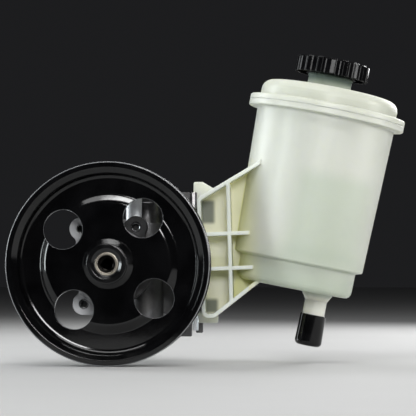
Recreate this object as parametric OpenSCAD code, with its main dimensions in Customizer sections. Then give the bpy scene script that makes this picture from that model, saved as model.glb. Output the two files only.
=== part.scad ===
// Engine-driven power steering pump with a dished four-hole belt pulley and a clip-on reservoir.
// Shaft axis along Y, pulley towards -Y, reservoir towards +X, up is +Z.
// The origin is the middle of the belt track on the shaft axis.

/* [Pulley] */
// Outside diameter over the rim lips
pulley_d = 160; // [156:1:164]
// Width of the rim along the shaft
rim_w = 30; // [29:1:34]
// Wall of the rim between the groove tips and the inner face
rim_wall = 9.2; // [8:0.2:10]
// Radial width of the flat front lip
lip_w = 4.4; // [3:0.1:5]
// Depth of the flared mouth behind the front lip
lip_flare = 3.5; // [2.5:0.25:4.5]
// Number of belt grooves
groove_n = 6; // [5:1:7]
// Pitch of the belt grooves
groove_pitch = 3.56; // [3.4:0.02:3.7]
// Depth of a belt groove
groove_depth = 2.8; // [2.2:0.1:3.2]
// Height of the rim lips beside the belt
rim_lip_h = 1.6; // [1.2:0.1:2]
// Depth of the web behind the front lip
web_recess = 12.6; // [11:0.2:14]
// Sheet thickness of the web
web_t = 3.2; // [2.6:0.1:4]
// Height that the middle of the web stands forward
web_step = 3; // [2:0.2:4]
// Inside radius of the bends in the web
web_bend = 3; // [1.5:0.25:3.5]
// Radius at the foot of the step in the web
step_r_out = 54.5; // [53:0.5:56]
// Radius at the top of the step in the web
step_r_in = 49; // [47:0.5:51]
// Diameter of an access hole in the web
access_d = 31; // [28:0.5:32]
// Pitch circle of the access holes
access_pcd = 90; // [88:0.5:92]
// Number of access holes
access_n = 4; // [4:1:4]
// Angle of the first access hole
access_angle = 53; // [50:1:56]

/* [Hub] */
// Diameter of the hub nose that the puller grips
hub_nose_d = 32; // [30:0.5:34]
// Diameter at the bottom of the puller groove
hub_groove_d = 27; // [25:0.5:28]
// Length of the nose ahead of the puller groove
hub_nose_w = 5; // [4:0.5:6]
// Diameter of the hub flange on the web
hub_flange_d = 40; // [37:0.5:43]
// Height of the conical hub flange
hub_flange_t = 6; // [5:0.25:7]
// Height of the hub flange's straight rim
hub_flange_rim = 1; // [0.8:0.1:1.4]
// How far the hub stands ahead of the rim lip
hub_lead = 7; // [5:0.5:9]
// Length of the hub behind the web
hub_tail = 2; // [1:0.5:4]
// Width of the bevel at the mouth of the hub bore
hub_bevel = 2.4; // [1.5:0.1:3]

/* [Shaft] */
// Diameter of the shaft in the hub
shaft_d = 19; // [18:0.5:20]
// Depth of the shaft end below the hub face
shaft_recess = 1.5; // [1:0.25:3]
// Diameter of the ball bearing seat
seat_d = 20; // [19.5:0.5:21]
// Diameter in the seal and the bush
journal_d = 18; // [17:0.5:19]
// Diameter in the rotor
spline_d = 16; // [15:0.5:16.5]
// Diameter of the recess in the shaft end
centre_d = 13; // [12.4:0.2:13.8]
// Depth of the recess in the shaft end
centre_l = 5; // [4:0.5:6]
// Drill diameter of the tapped hole in the shaft end
puller_hole_d = 10.2; // [8.5:0.1:10.5]
// Depth of the tapped hole in the shaft end
puller_hole_l = 24; // [18:1:30]

/* [Ball bearing] */
// Outside diameter of the bearing
bearing_d = 42; // [41:0.5:43]
// Width of the bearing
bearing_w = 12; // [11:0.5:13]
// Ball diameter
ball_d = 6.35; // [6:0.05:6.5]
// Number of balls
ball_n = 9; // [8:1:10]
// Wall of each race
race_wall = 2.9; // [2.6:0.1:3]
// Wall of the ball cage
cage_wall = 1.8; // [1.4:0.1:2]

/* [Seal and bush] */
// Width of the shaft seal
seal_t = 7; // [6:0.5:8]
// Wall of the shaft seal
seal_wall = 6; // [5:0.5:7]
// Length of the plain bush
bush_l = 14; // [12:0.5:16]
// Wall of the plain bush
bush_wall = 2; // [1.5:0.1:2.5]

/* [Housing] */
// Distance from the back of the rim to the machined mounting face
mount_gap = 15; // [12:1:20]
// Distance from the back of the web to the bearing nose
nose_gap = 7.2; // [6.5:0.2:9]
// Wall round the bearing
nose_wall = 5; // [4:0.5:6]
// Radius of the mounting face between its ears
mount_face_r = 33; // [31:0.5:34]
// Radius of a mounting ear
ear_r = 9; // [8:0.5:10]
// Radius of the hollow corners beside the ears
ear_hollow = 6; // [4:0.5:8]
// Wall between a tapped hole and the joint of its ear
ear_wall = 2.2; // [2:0.1:2.6]
// Thickness of the mounting ears
ear_t = 16; // [15.5:0.5:18]
// Drill diameter of the tapped mounting holes
mount_hole_d = 6.8; // [6.4:0.1:7]
// Depth of the upper tapped hole
upper_hole_l = 14; // [13.5:0.25:15]
// Depth of the lower tapped hole
lower_hole_l = 13; // [12:0.25:13.25]
// Depth of the inner tapped hole
inner_hole_l = 8.75; // [8:0.25:9.25]
// Distance of the rough side of the mounting face behind its machined side
inner_setback = 1.5; // [1:0.25:2]
// Edge between the machined and the rough side, from the shaft axis
rough_x = 2; // [0:0.5:2.5]
// Radius of the housing neck behind the mounting face
neck_body_r = 27; // [25:0.5:29]
// Diameter of the pumping chamber
chamber_d = 60; // [58:0.5:62]
// Wall round the pumping chamber
chamber_wall = 7; // [6:0.5:9]
// Distance of the valve axis from the shaft axis
valve_x = 26; // [25.5:0.5:28]
// Radius of the valve boss
valve_boss_r = 13; // [12.5:0.5:13.5]
// Height of the outlet seat above the shaft axis
outlet_z = 33; // [31:0.5:36]
// Depth of the valve boss below the shaft axis
valve_low = 46; // [44:0.5:50]
// Radius of the relief valve's boss
relief_r = 8.6; // [8:0.2:9]
// Distance of the relief valve's boss from the shaft axis
relief_x = 17.7; // [17:0.1:18.5]
// Distance of the relief valve's boss ahead of the flow valve
relief_lead = 6; // [5.5:0.25:6.5]
// Height of the relief valve's boss above the shaft axis
relief_h = 56; // [52:1:58]
// Length of the inlet boss from the shaft axis
inlet_x = 60; // [58:0.5:62]
// Depth of the inlet socket
inlet_depth = 14; // [12:0.5:16]
// Wall round the inlet socket
inlet_wall = 4; // [3:0.25:5]

/* [Carrier] */
// Thickness of the carrier plate for the reservoir
carrier_t = 7; // [6:0.5:8]
// Height of the carrier's upper arm
carrier_top_z = 58.4; // [57:0.2:60]
// Depth of the carrier's lower arm
carrier_low_z = 59; // [58:0.2:61]
// Bottom of the upper post
post_z0 = 33; // [32:0.5:36]
// Height of the upper post
post_h = 18.6; // [17:0.2:20]
// Reach of the upper post
post_x1 = 80.4; // [79:0.2:82]
// Top of the lower post below the shaft axis
low_post_z0 = 28.5; // [27:0.5:30]
// Height of the lower post
low_post_h = 12; // [11:0.5:13]
// Reach of the lower post
low_post_x1 = 83; // [82:0.2:84]
// Edge of the carrier between the posts
carrier_x1 = 62; // [58:0.5:63]
// Height of the carrier's arms at the valve boss
arm_w = 6; // [5:0.5:8]
// Width of the fingers beside the clip slots
finger_w = 5.4; // [5:0.1:6]

/* [Rotating group] */
// Width of the cam ring
ring_w = 18; // [16:0.5:20]
// Thickness of each side plate
plate_t = 7.6; // [7:0.2:9]
// Radius of the rotor
rotor_r = 22; // [21:0.25:22.5]
// Number of vanes
vane_n = 10; // [8:1:10]
// Thickness of a vane
vane_t = 2; // [1.6:0.1:2.4]
// Depth of a vane
vane_h = 8.5; // [7:0.5:9]
// Lift of the oval cam track
cam_lift = 2.2; // [1.5:0.1:2.6]
// Radius of the dowel pins
dowel_r = 1.5; // [1.2:0.1:1.8]
// Room for the spring behind the plates
spring_space = 5.4; // [5:0.2:6]
// Wire radius of the plate spring
plate_wire_r = 0.9; // [0.7:0.1:1]
// Distance of the plate spring inside the chamber wall
plate_spring_inset = 11; // [10:0.5:12]
// Thickness of the end cover
cover_t = 7; // [6.5:0.25:8]
// Thickness of the end cover's retaining ring
cover_ring_t = 1.8; // [1.6:0.1:2.2]

/* [Flow valve] */
// Diameter of the valve spool
spool_d = 15; // [14:0.5:15.5]
// Length of the valve spool
spool_l = 32; // [28:1:34]
// Depth of the spring pocket in the spool
spool_pocket = 6; // [5:0.5:7]
// Wire radius of the valve spring
valve_wire_r = 0.8; // [0.7:0.1:0.9]
// Thread diameter of the outlet fitting and the valve plug
valve_thread_d = 18; // [17:0.5:19]
// Length of the valve plug's thread
plug_l = 12; // [11:0.5:13]
// Height of the valve plug's hexagon
plug_hex_h = 6.5; // [6:0.5:8]
// Length of the outlet fitting's thread
shank_l = 17; // [15:0.5:18]
// Radius of the outlet fitting's collar
outlet_r = 12; // [11.5:0.25:12.5]
// Height of the outlet fitting above its seat
outlet_h = 27; // [24:1:32]
// Height of the outlet fitting's hexagon
outlet_hex_h = 10; // [8:0.5:12]
// Drill diameter of the outlet port
port_d = 14.5; // [13:0.5:15]
// Depth of the outlet port
port_l = 16; // [14:0.5:18]

/* [Reservoir] */
// Lean of the reservoir towards +X, in degrees
lean = 11; // [10:0.25:12]
// Distance of the reservoir foot from the shaft axis
tank_x = 144.3; // [143:0.1:147]
// Middle plane of the reservoir along the shaft
tank_y = 65; // [64:0.5:66]
// Height of the reservoir foot
tank_z = -19.9; // [-22:0.1:-18]
// Radius of the lower body
foot_r = 47.2; // [46:0.2:48.5]
// Radius of the rounded foot
foot_round = 5; // [4:0.5:6]
// Height of the shoulder
shoulder_h = 22.1; // [21:0.1:24]
// Height of the slope under the shoulder
shoulder_slope = 1.6; // [1.2:0.1:2.4]
// Radius above the shoulder
shoulder_r = 53; // [52:0.2:54]
// Radius below the weld flange
brim_r = 56.5; // [56:0.2:57.5]
// Height of the underside of the weld flange
flange_h = 140.6; // [137:0.2:145]
// Radius of the weld flange
flange_r = 63.8; // [62:0.2:65]
// Height of the weld flange
flange_t = 9.2; // [8.4:0.2:10]
// Depth of the groove at the weld seam
seam_groove = 0.3; // [0.2:0.1:0.6]
// Rise of the dome above the flange
dome_h = 16.5; // [15:0.5:18]
// Radius of the rounded dome edge
dome_round = 8; // [6:0.5:9]
// Wall of the reservoir
tank_wall = 2.8; // [2.4:0.1:3.2]
// Sideways offset of the filler neck
neck_offset = -2.5; // [-4:0.5:0]
// Radius of the filler neck
neck_r = 17.8; // [17:0.2:19]
// Wall of the filler neck
neck_wall = 2.8; // [2.4:0.1:3.2]
// Exposed height of the filler neck below the cap
neck_show = 8.8; // [8:0.2:11]
// Length of the filler neck inside the cap
neck_hidden = 6; // [5:0.25:7]
// Sideways offset of the return nipple
nipple_offset = 20.2; // [19:0.2:21]
// Radius of the return nipple
nipple_r = 9; // [8.5:0.1:9.5]
// Wall of the return nipple
nipple_wall = 2.4; // [2:0.1:2.8]
// Length of the return nipple
nipple_l = 40.4; // [37:0.2:43]
// Height of the bead at the nipple end
nipple_bead = 0.6; // [0.4:0.1:0.8]
// Radius of the cone at the nipple root
nipple_root_r = 13.4; // [12.5:0.2:14]
// Height of the cone at the nipple root
nipple_root_h = 6.5; // [5:0.5:8]

/* [Bracket] */
// Front edge of the bracket ribs ahead of the reservoir's middle plane
rib_reach = 33; // [30:0.5:34]
// Front face of the bracket plate ahead of the reservoir's middle plane
plate_reach = 9; // [8:0.5:10]
// Thickness of the bracket plate
plate_wall = 3; // [2.5:0.1:3.5]
// Thickness of the ribs
rib_t = 3; // [2.6:0.1:3.6]
// Roll of the cross ribs, in degrees
rib_roll = 2.2; // [0:0.2:4]
// Lean of the upright rib, in degrees
rib_lean = 1.7; // [0:0.1:3]
// Left wall of the bracket at its top
tray_x0 = 69; // [68:0.2:70]
// Lean of the bracket's left wall towards its foot
tray_lean = 4.2; // [3:0.2:5]
// Width of the bracket's foot from its left wall
tray_foot_w = 12.5; // [11.5:0.25:13.5]
// Height of the bracket's upper left corner
tray_top_z = 51.9; // [50:0.2:53]
// Rise of the bracket's top wall at the reservoir
tray_rise = 33.1; // [31:0.5:35]
// Depth of the bracket's lower left corner
tray_low_z = 41.8; // [40:0.2:43]
// Rise of the bracket's lower wall to the reservoir
tray_low_rise = 34.2; // [32:0.2:36]
// Distance of the upright rib from the shaft axis
rib_x = 93.2; // [90:0.2:96]
// Height of the upper cross rib
rib_z1 = 24.4; // [22:0.2:27]
// Height of the lower cross rib
rib_z2 = -3.4; // [-6:0.2:-1]
// Top of the upper ear
ear_top_z = 66.6; // [65:0.2:68]
// Bottom edge of the upper ear
ear_top_z0 = 45; // [43:0.5:47]
// Left edge of the upper ear
ear_left_x = 63.6; // [63:0.1:64]
// Bottom of the lower ear
ear_low_z = 48; // [46.5:0.2:49]
// Left edge of the lower ear
ear_low_left_x = 65; // [64.6:0.1:65.4]
// Right edge of the lower ear
ear_low_right_x = 83.6; // [82.6:0.2:84.6]
// Height of the feed tube above the shaft axis
feed_z = -4; // [-5:0.5:-3]
// Feed tube behind the reservoir's middle plane
feed_back = 15; // [14:0.5:16]
// Radius of the feed tube
feed_r = 9.75; // [9.25:0.25:10]
// Wall of the feed tube
feed_wall = 3.75; // [3.5:0.25:4]

/* [Filler cap] */
// Diameter of the filler cap
cap_d = 60.2; // [58:0.2:62]
// Height of the filler cap
cap_h = 12.6; // [12:0.2:14]
// Wall of the filler cap
cap_wall = 2.6; // [2.2:0.1:3]
// Wall of the threaded skirt in the cap
skirt_wall = 2.4; // [2:0.1:2.8]
// Number of grip flutes
flute_n = 18; // [14:1:22]
// Radius of a grip flute
flute_r = 5; // [4:0.25:6]
// Depth of a grip flute
flute_depth = 1.5; // [0.8:0.1:1.8]
// Thickness of the cap gasket
gasket_t = 1.9; // [1.6:0.1:2.2]
// Length of the dipstick's blade
blade_l = 46; // [40:1:50]
// Width of the dipstick's blade
blade_w = 6; // [5:0.25:7]
// Thickness of the dipstick's blade
blade_t = 2; // [1.6:0.1:2.4]

/* [Return port] */
// Outside radius of the soft port cap
port_cap_r = 11.1; // [11:0.1:11.6]
// Taper of the soft port cap towards its mouth
port_cap_taper = 0.7; // [0.4:0.1:0.8]
// Length of the soft port cap
port_cap_l = 25.5; // [24:0.5:27]
// Thickness of the soft port cap's end
port_cap_t = 2.7; // [2:0.1:3]
// Radius of the filter canister
filter_r = 23; // [21:0.5:24]
// Height of the filter canister
filter_h = 70; // [64:1:76]
// Wall of the filter canister
filter_wall = 1.6; // [1.4:0.1:2]
// Number of windows in the filter canister
filter_n = 10; // [8:1:12]

/* [Clips] */
// Sheet thickness of the spring clips
clip_t = 1.2; // [1:0.1:1.3]
// Width of the spring clips
clip_w = 12; // [10:0.5:14]
// Reach of the clip arms
clip_reach = 3; // [2.5:0.25:3.25]
// Height of the upper clip
clip_z = 46; // [45:0.5:47]
// Depth of the lower clip
clip_low_z = 54; // [53:0.5:55]

/* [Clearances] */
// Radial gap of a turning or sliding fit
run_gap = 0.03; // [0.02:0.01:0.06]
// Radial gap of a seated ring or plug
seat_gap = 0.02; // [0.01:0.01:0.04]
// Gap between stacked plates
stack_gap = 0.1; // [0.05:0.05:0.15]
// Gap beside the rotor
side_gap = 0.2; // [0.1:0.05:0.25]
// Free gap between separate pieces
free_gap = 0.3; // [0.2:0.05:0.4]

/* [Hidden] */
$fn = 64;
// Overrun of a cut past the face that it opens
over = 1;
// Depth that a joined form is sunk into its neighbour
sink = 1;
// Small and fine edge breaks
edge = 0.8;
fine = 0.4;

// Colours of the materials
black_paint = [0.05, 0.05, 0.055];
black_plastic = [0.03, 0.03, 0.035];
casting = [0.62, 0.63, 0.65];
steel = [0.6, 0.6, 0.62];
shaft_steel = [0.62, 0.58, 0.52];
spring_steel = [0.42, 0.42, 0.44];
plated_steel = [0.75, 0.75, 0.77];
bronze = [0.7, 0.52, 0.3];
rubber = [0.08, 0.08, 0.08];
natural_plastic = [0.86, 0.89, 0.8];

// Depth of the valve boss in the mounting plate, of the bush in its bore and of the cover in the barrel
valve_sink = 3;
bush_inset = 2;
barrel_lip = 3;
// Depth of the cover ring's groove, gap of a spot face and rounding of the bearing nose
cover_groove = 1.6;
spot_gap = 1.5;
nose_round = 1.5;

// Stations along the shaft
pulley_r = pulley_d / 2;
lip_y = -rim_w / 2;
rim_y = rim_w / 2;
web_y = lip_y + web_recess;
web_back_y = web_y + web_t;
stage_y = web_y - web_step;
stage_back_y = stage_y + web_t;
hub_y = lip_y - hub_lead;
hub_end_y = web_back_y + hub_tail;
shaft_y = hub_y + shaft_recess;
nose_y = web_back_y + nose_gap;
ring_t = 1.2;
ring_inset = 0.9;
ring_end_y = nose_y + ring_inset + ring_t;
bearing_y = ring_end_y + stack_gap;
bearing_end_y = bearing_y + bearing_w;
bearing_mid_y = bearing_y + bearing_w / 2;
face_y = rim_y + mount_gap;
seal_y = bearing_end_y + edge;
root_y = face_y + inner_setback + sink;
valve_y = face_y + ear_t + valve_boss_r - valve_sink;
chamber_y = valve_y + valve_boss_r + sink;
bush_y = chamber_y - bush_l - bush_inset;
front_plate_y = chamber_y + side_gap;
ring_y = front_plate_y + plate_t + stack_gap;
rear_plate_y = ring_y + ring_w + stack_gap;
spring_y = rear_plate_y + plate_t;
cover_y = spring_y + spring_space;
cover_ring_y = cover_y + cover_t + stack_gap;
barrel_y = cover_ring_y + cover_ring_t + barrel_lip;
shaft_end_y = spring_y - sink;

// Radii of the shaft, the bearing and the pumping group
shaft_r = shaft_d / 2;
seat_r = seat_d / 2;
journal_r = journal_d / 2;
spline_r = spline_d / 2;
tail_r = spline_r - 1;
bearing_r = bearing_d / 2;
nose_r = bearing_r + nose_wall;
ball_r = ball_d / 2;
ball_pitch_r = (seat_r + bearing_r) / 2;
ball_gap = 0.1;
seal_r = journal_r + seal_wall;
bush_r = journal_r + bush_wall;
chamber_r = chamber_d / 2;
barrel_r = chamber_r + chamber_wall;
group_r = chamber_r - stack_gap;
snap_depth = 0.6;

// Tapped mounting holes, as [x, z, set-back of the face, depth, depth of the thread's lead-in]
mounts = [[-25.8, 28.1, 0, upper_hole_l, 0.5], [-23.2, -32.1, 0, lower_hole_l, 0.9],
    [18.5, 29.5, inner_setback, inner_hole_l, 0.7]];

// Flow valve stations along its upright axis
valve_bore_r = spool_d / 2 + run_gap;
valve_thread_r = valve_thread_d / 2;
spool_top = outlet_z - shank_l - free_gap;
spool_low = spool_top - spool_l;
plug_top = plug_l - valve_low;
plug_brim = 3;
plug_head_r = valve_thread_r + plug_brim;
plug_head_t = 3;
plug_oring_z = plug_brim - valve_low;
outlet_oring_z = outlet_z - plug_brim - sink;
oring_r = 1.2;
oring_side = 0.2;

// Bracket, carrier and feed tube stations
rib_y = tank_y - rib_reach;
plate_y = tank_y - plate_reach;
carrier_y = plate_y + plate_wall;
carrier_end_y = carrier_y + carrier_t;
feed_y = tank_y + feed_back;
feed_end_gap = 1.5;
feed_tip_x = inlet_x - inlet_depth + feed_end_gap;
feed_bore_r = feed_r - feed_wall;
feed_groove_x = inlet_x - inlet_depth / 2;
socket_r = feed_r + free_gap;
inlet_boss_r = socket_r + inlet_wall;
clip_side = 0.5;
clip_x = ear_left_x - clip_t - clip_side;
clip_low_x = ear_low_left_x - clip_t - clip_side;
// Clip slots of the carrier: gap beside the clip, lap behind the ear and room at the end
slot_gap = 1.4;
slot_lap = 0.5;
slot_end = 2;
// Offsets of the carrier's arms from the valve boss and of its fingers from the arms
arm_gap = 2.5;
shelf = 1.5;

// Depth of the bracket inside the reservoir, root of its upper ear and pivot of its upright rib
tray_bury = 20;
ear_root = 7;
rib_pivot_z = 36.6;

// Reservoir stations along its own leaning axis
seam_h = flange_h + flange_t / 2;
flange_top_h = flange_h + flange_t;
dome_r = brim_r - fine;
dome_top_h = flange_top_h + dome_h;
cap_h0 = dome_top_h + neck_show;
neck_top_h = cap_h0 + neck_hidden;
cap_roof_h = neck_top_h + gasket_t + 2 * free_gap;
cap_r = cap_d / 2;
neck_bore_r = neck_r - neck_wall;
nipple_bore_r = nipple_r - nipple_wall;
port_cap_end = -nipple_l - free_gap - port_cap_t;
filter_shift = 6.2;
filter_offset = nipple_offset - filter_shift;

// Helpers for outlines
function unit(v) = v / norm(v);
function flat(p) = [p[0], p[1]];
function wrap(a) = a - 360 * floor((a + 180) / 360);
function heading(v) = atan2(v[1], v[0]);

// Points along an arc
function arc(c, r, a0, sweep, n) =
    [for (i = [0 : n]) c + r * [cos(a0 + sweep * i / n), sin(a0 + sweep * i / n)]];

// The corner p between a and b, rounded to radius r
function corner(a, p, b, r, n) = r == 0 ? [p] :
    let (u = unit(a - p), v = unit(b - p), half = acos(u * v) / 2, c = p + unit(u + v) * r / sin(half))
    let (p0 = p + u * r / tan(half), p1 = p + v * r / tan(half), a0 = heading(p0 - c))
    arc(c, r, a0, wrap(heading(p1 - c) - a0), n);

// An outline of [x, y, r] corners with each corner rounded to its r
function rounded(c, n = 4) = [for (i = [0 : len(c) - 1])
    let (a = c[(i + len(c) - 1) % len(c)], b = c[(i + 1) % len(c)])
    each corner(flat(a), flat(c[i]), flat(b), c[i][2], n)];

// A convex outline of [x, y, r] corners moved inwards by t
function inset(c, t) = [for (i = [0 : len(c) - 1])
    let (p = flat(c[i]), a = flat(c[(i + len(c) - 1) % len(c)]), b = flat(c[(i + 1) % len(c)]))
    let (u = unit(a - p), v = unit(b - p))
    let (q = p + unit(u + v) * t / sin(acos(u * v) / 2))
    [q[0], q[1], c[i][2] == 0 ? 0 : c[i][2] - t]];

// A straight strip between two points, with its thickness on both sides of the line
function strip(a, b, t) = let (d = unit(b - a), n = t / 2 * [-d[1], d[0]]) [a + n, b + n, b - n, a - n];

// The hollow-sided neck between a disc of radius r0 at the origin and a disc of radius r1 at p
function hollow_neck(p, r0, r1, hollow) =
    let (a = r0 + hollow, b = r1 + hollow, d = norm(p), open = acos((a * a + d * d - b * b) / (2 * a * d)))
    let (up = a * [cos(heading(p) + open), sin(heading(p) + open)])
    let (low = a * [cos(heading(p) - open), sin(heading(p) - open)])
    let (u0 = heading(p - up), u1 = heading(-up), l0 = heading(-low), l1 = heading(p - low))
    concat(arc(up, hollow, u0, wrap(u1 - u0), 6), arc(low, hollow, l0, wrap(l1 - l0), 6));

// A cylinder along Y between two stations
module ycyl(r, y0, y1) {
    translate([0, y0, 0]) rotate([-90, 0, 0]) cylinder(r = r, h = y1 - y0);
}

// A ring along Y between two stations
module yring(r_out, r_in, y0, y1) {
    difference() {
        ycyl(r_out, y0, y1);
        ycyl(r_in, y0 - over, y1 + over);
    }
}

// An outline of [radius, station] points revolved about Y
module yturn(points) {
    rotate([-90, 0, 0]) rotate_extrude($fn = 96) polygon(points);
}

// An outline of [radius, height] points revolved about Z
module zturn(points) {
    rotate_extrude($fn = 96) polygon(points);
}

// A ring along Z
module zring(r_out, r_in, z0, h) {
    translate([0, 0, z0]) difference() {
        cylinder(r = r_out, h = h);
        translate([0, 0, -over]) cylinder(r = r_in, h = h + 2 * over);
    }
}

// A flat outline of [x, z] points between two stations of Y
module xzplate(y0, y1) {
    translate([0, y1, 0]) rotate([90, 0, 0]) linear_extrude(height = y1 - y0) children();
}

// A cylinder along X at the feed tube's height
module feed_cyl(r, x0, x1) {
    translate([x0, feed_y, feed_z]) rotate([0, 90, 0]) cylinder(r = r, h = x1 - x0);
}

// A round section swept about Z
module torus(r, wire_r) {
    rotate_extrude($fn = 64) translate([r, 0]) circle(r = wire_r, $fn = 24);
}

// A torus about Y
module yoring(r, wire_r, y) {
    translate([0, y, 0]) rotate([-90, 0, 0]) torus(r, wire_r);
}

// Open retaining ring about Y, with its gap upwards
module open_ring(r_out, r_in, y0, y1, gap) {
    difference() {
        yring(r_out, r_in, y0, y1);
        translate([-gap / 2, y0 - over, 0]) cube([gap, y1 - y0 + 2 * over, r_out + over]);
    }
}

// A groove for an O-ring round a plug of radius r, at height z
module oring_groove(r, z) {
    zring(r + over, r - 2 * oring_r - stack_gap, z - oring_r - oring_side, 2 * (oring_r + oring_side));
}

// A round wire wound along Z as one closed sweep
module coil(r, wire_r, pitch, turns, per_turn) {
    sides = 8;
    rings = round(turns * per_turn);
    points = [for (i = [0 : rings]) let (a = 360 * turns * i / rings, c = [r * cos(a), r * sin(a)])
        for (k = [0 : sides - 1]) let (b = 360 * k / sides, w = wire_r * cos(b))
            [c[0] + w * cos(a), c[1] + w * sin(a), pitch * turns * i / rings + wire_r * sin(b)]];
    skin = [for (i = [0 : rings - 1]) for (k = [0 : sides - 1]) let (n = (k + 1) % sides)
        [i * sides + k, (i + 1) * sides + k, (i + 1) * sides + n, i * sides + n]];
    first = [for (k = [0 : sides - 1]) k];
    last = [for (k = [sides - 1 : -1 : 0]) rings * sides + k];
    polyhedron(points = points, faces = concat([first], [last], skin), convexity = 8);
}

// Places children on the leaning axis of the reservoir
module on_tank() {
    translate([tank_x, tank_y, tank_z]) rotate([0, lean, 0]) children();
}

// Places children on the axis of the flow valve
module at_valve() {
    translate([valve_x, valve_y, 0]) children();
}

// Pulley: dished steel pressing with a grooved rim
module belt_grooves() {
    floor_half = 0.35;
    for (i = [0 : groove_n - 1]) {
        y = (i - (groove_n - 1) / 2) * groove_pitch;
        yturn([[pulley_r + over, y - groove_pitch / 2], [pulley_r - groove_depth, y - floor_half],
            [pulley_r - groove_depth, y + floor_half], [pulley_r + over, y + groove_pitch / 2]]);
    }
}

module pulley() {
    rim_in_r = pulley_r - rim_wall;
    belt_r = pulley_r - rim_lip_h;
    belt_half = groove_n * groove_pitch / 2 + fine;
    bore_r = hub_groove_d / 2 + seat_gap;
    shift = web_t * tan(atan2(web_step, step_r_out - step_r_in) / 2);
    color(black_paint) difference() {
        yturn(rounded([[belt_r, -belt_half, 0], [belt_r, belt_half, 0],
            [pulley_r, belt_half + rim_lip_h, fine], [pulley_r, rim_y, edge],
            [rim_in_r, rim_y, edge], [rim_in_r, web_back_y, web_bend],
            [step_r_out - shift, web_back_y, web_bend + web_t], [step_r_in - shift, stage_back_y, web_bend],
            [bore_r, stage_back_y, 0], [bore_r, stage_y, 0], [step_r_in, stage_y, web_bend + web_t],
            [step_r_out, web_y, web_bend], [rim_in_r, web_y, web_bend + fine],
            [rim_in_r, lip_y + lip_flare, 2], [pulley_r - lip_w, lip_y, fine],
            [pulley_r, lip_y, edge], [pulley_r, -belt_half - rim_lip_h, fine]]));
        belt_grooves();
        for (i = [0 : access_n - 1]) rotate([0, -access_angle - i * 360 / access_n, 0])
            translate([access_pcd / 2, 0, 0]) ycyl(access_d / 2, lip_y, rim_y);
    }
}

// Pulley hub: turned steel, pressed on the shaft, with a puller groove
module pulley_hub() {
    tip_r = hub_nose_d / 2;
    groove_r = hub_groove_d / 2;
    seat_flange_r = hub_flange_d / 2;
    bore_r = shaft_r + seat_gap;
    flange_y = stage_y - hub_flange_t;
    color(black_paint) yturn(rounded([[bore_r, hub_y + hub_bevel / 2, 0], [bore_r + hub_bevel, hub_y, 0],
        [tip_r, hub_y, 1], [tip_r, hub_y + hub_nose_w, edge], [groove_r, hub_y + hub_nose_w + edge, edge],
        [groove_r, flange_y, 1.5], [seat_flange_r, stage_y - hub_flange_rim, 1], [seat_flange_r, stage_y, 0],
        [groove_r, stage_y, 0], [groove_r, hub_end_y, fine], [bore_r, hub_end_y, 0]]));
}

// Drive shaft: stepped, with a tapped hole in the front end
module drive_shaft() {
    hole_r = puller_hole_d / 2;
    centre_r = centre_d / 2;
    lead_in = 0.4;
    snap_y = rear_plate_y + fine;
    drill_tip = hole_r * tan(30);
    shoulder_y = rear_plate_y + plate_t / 2;
    color(shaft_steel) difference() {
        yturn(rounded([[0, shaft_y, 0], [shaft_r, shaft_y, edge], [shaft_r, hub_end_y + sink, 0],
            [seat_r, hub_end_y + sink + fine, 0], [seat_r, bearing_end_y + side_gap, 0],
            [journal_r, bearing_end_y + side_gap + fine, 0], [journal_r, front_plate_y, 0],
            [spline_r, front_plate_y + sink, 0], [spline_r, shoulder_y, fine], [tail_r, shoulder_y, 0],
            [tail_r, shaft_end_y, fine], [0, shaft_end_y, 0]]));
        yturn([[0, shaft_y - over], [centre_r, shaft_y - over], [centre_r, shaft_y + centre_l],
            [hole_r + lead_in, shaft_y + centre_l], [hole_r, shaft_y + centre_l + lead_in],
            [hole_r, shaft_y + puller_hole_l], [0, shaft_y + puller_hole_l + drill_tip]]);
        yring(spline_r + over, spline_r - snap_depth, snap_y, snap_y + ring_t + stack_gap);
    }
}

// Rotor: slotted disc that carries the vanes
module each_vane() {
    for (i = [0 : vane_n - 1]) rotate([0, i * 360 / vane_n, 0]) children();
}

module rotor() {
    slot_w = vane_t + 2 * run_gap;
    root_r = rotor_r - vane_h - 1;
    color(steel) difference() {
        yring(rotor_r, spline_r + seat_gap, ring_y + side_gap, ring_y + ring_w - side_gap);
        each_vane() translate([root_r, ring_y - over, -slot_w / 2])
            cube([rotor_r - root_r + over, ring_w + 2 * over, slot_w]);
        each_vane() translate([root_r, 0, 0]) ycyl(slot_w * 0.75, ring_y - over, ring_y + ring_w + over);
    }
}

// Vanes: flat blades in the rotor slots, drawn in
module vanes() {
    end_gap = side_gap + stack_gap;
    color(plated_steel) each_vane() translate([rotor_r - stack_gap - vane_h, ring_y + end_gap, -vane_t / 2])
        cube([vane_h, ring_w - 2 * end_gap, vane_t]);
}

module rotor_snap_ring() {
    y0 = rear_plate_y + fine + stack_gap / 2;
    color(spring_steel) open_ring(spline_r + 2, spline_r - snap_depth + stack_gap, y0, y0 + ring_t, 5);
}

// Ball bearing between the nose and the shaft
module ball_track() {
    yoring(ball_pitch_r, ball_r + ball_gap, bearing_mid_y);
}

module bearing_inner_race() {
    color(steel) difference() {
        yring(seat_r + race_wall, seat_r + seat_gap, bearing_y, bearing_end_y);
        ball_track();
    }
}

module bearing_outer_race() {
    color(steel) difference() {
        yring(bearing_r - seat_gap, bearing_r - race_wall, bearing_y, bearing_end_y);
        ball_track();
    }
}

module each_ball() {
    for (i = [0 : ball_n - 1]) rotate([0, i * 360 / ball_n, 0])
        translate([ball_pitch_r, bearing_mid_y, 0]) children();
}

module bearing_balls() {
    color(plated_steel) each_ball() sphere(r = ball_r, $fn = 32);
}

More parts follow.
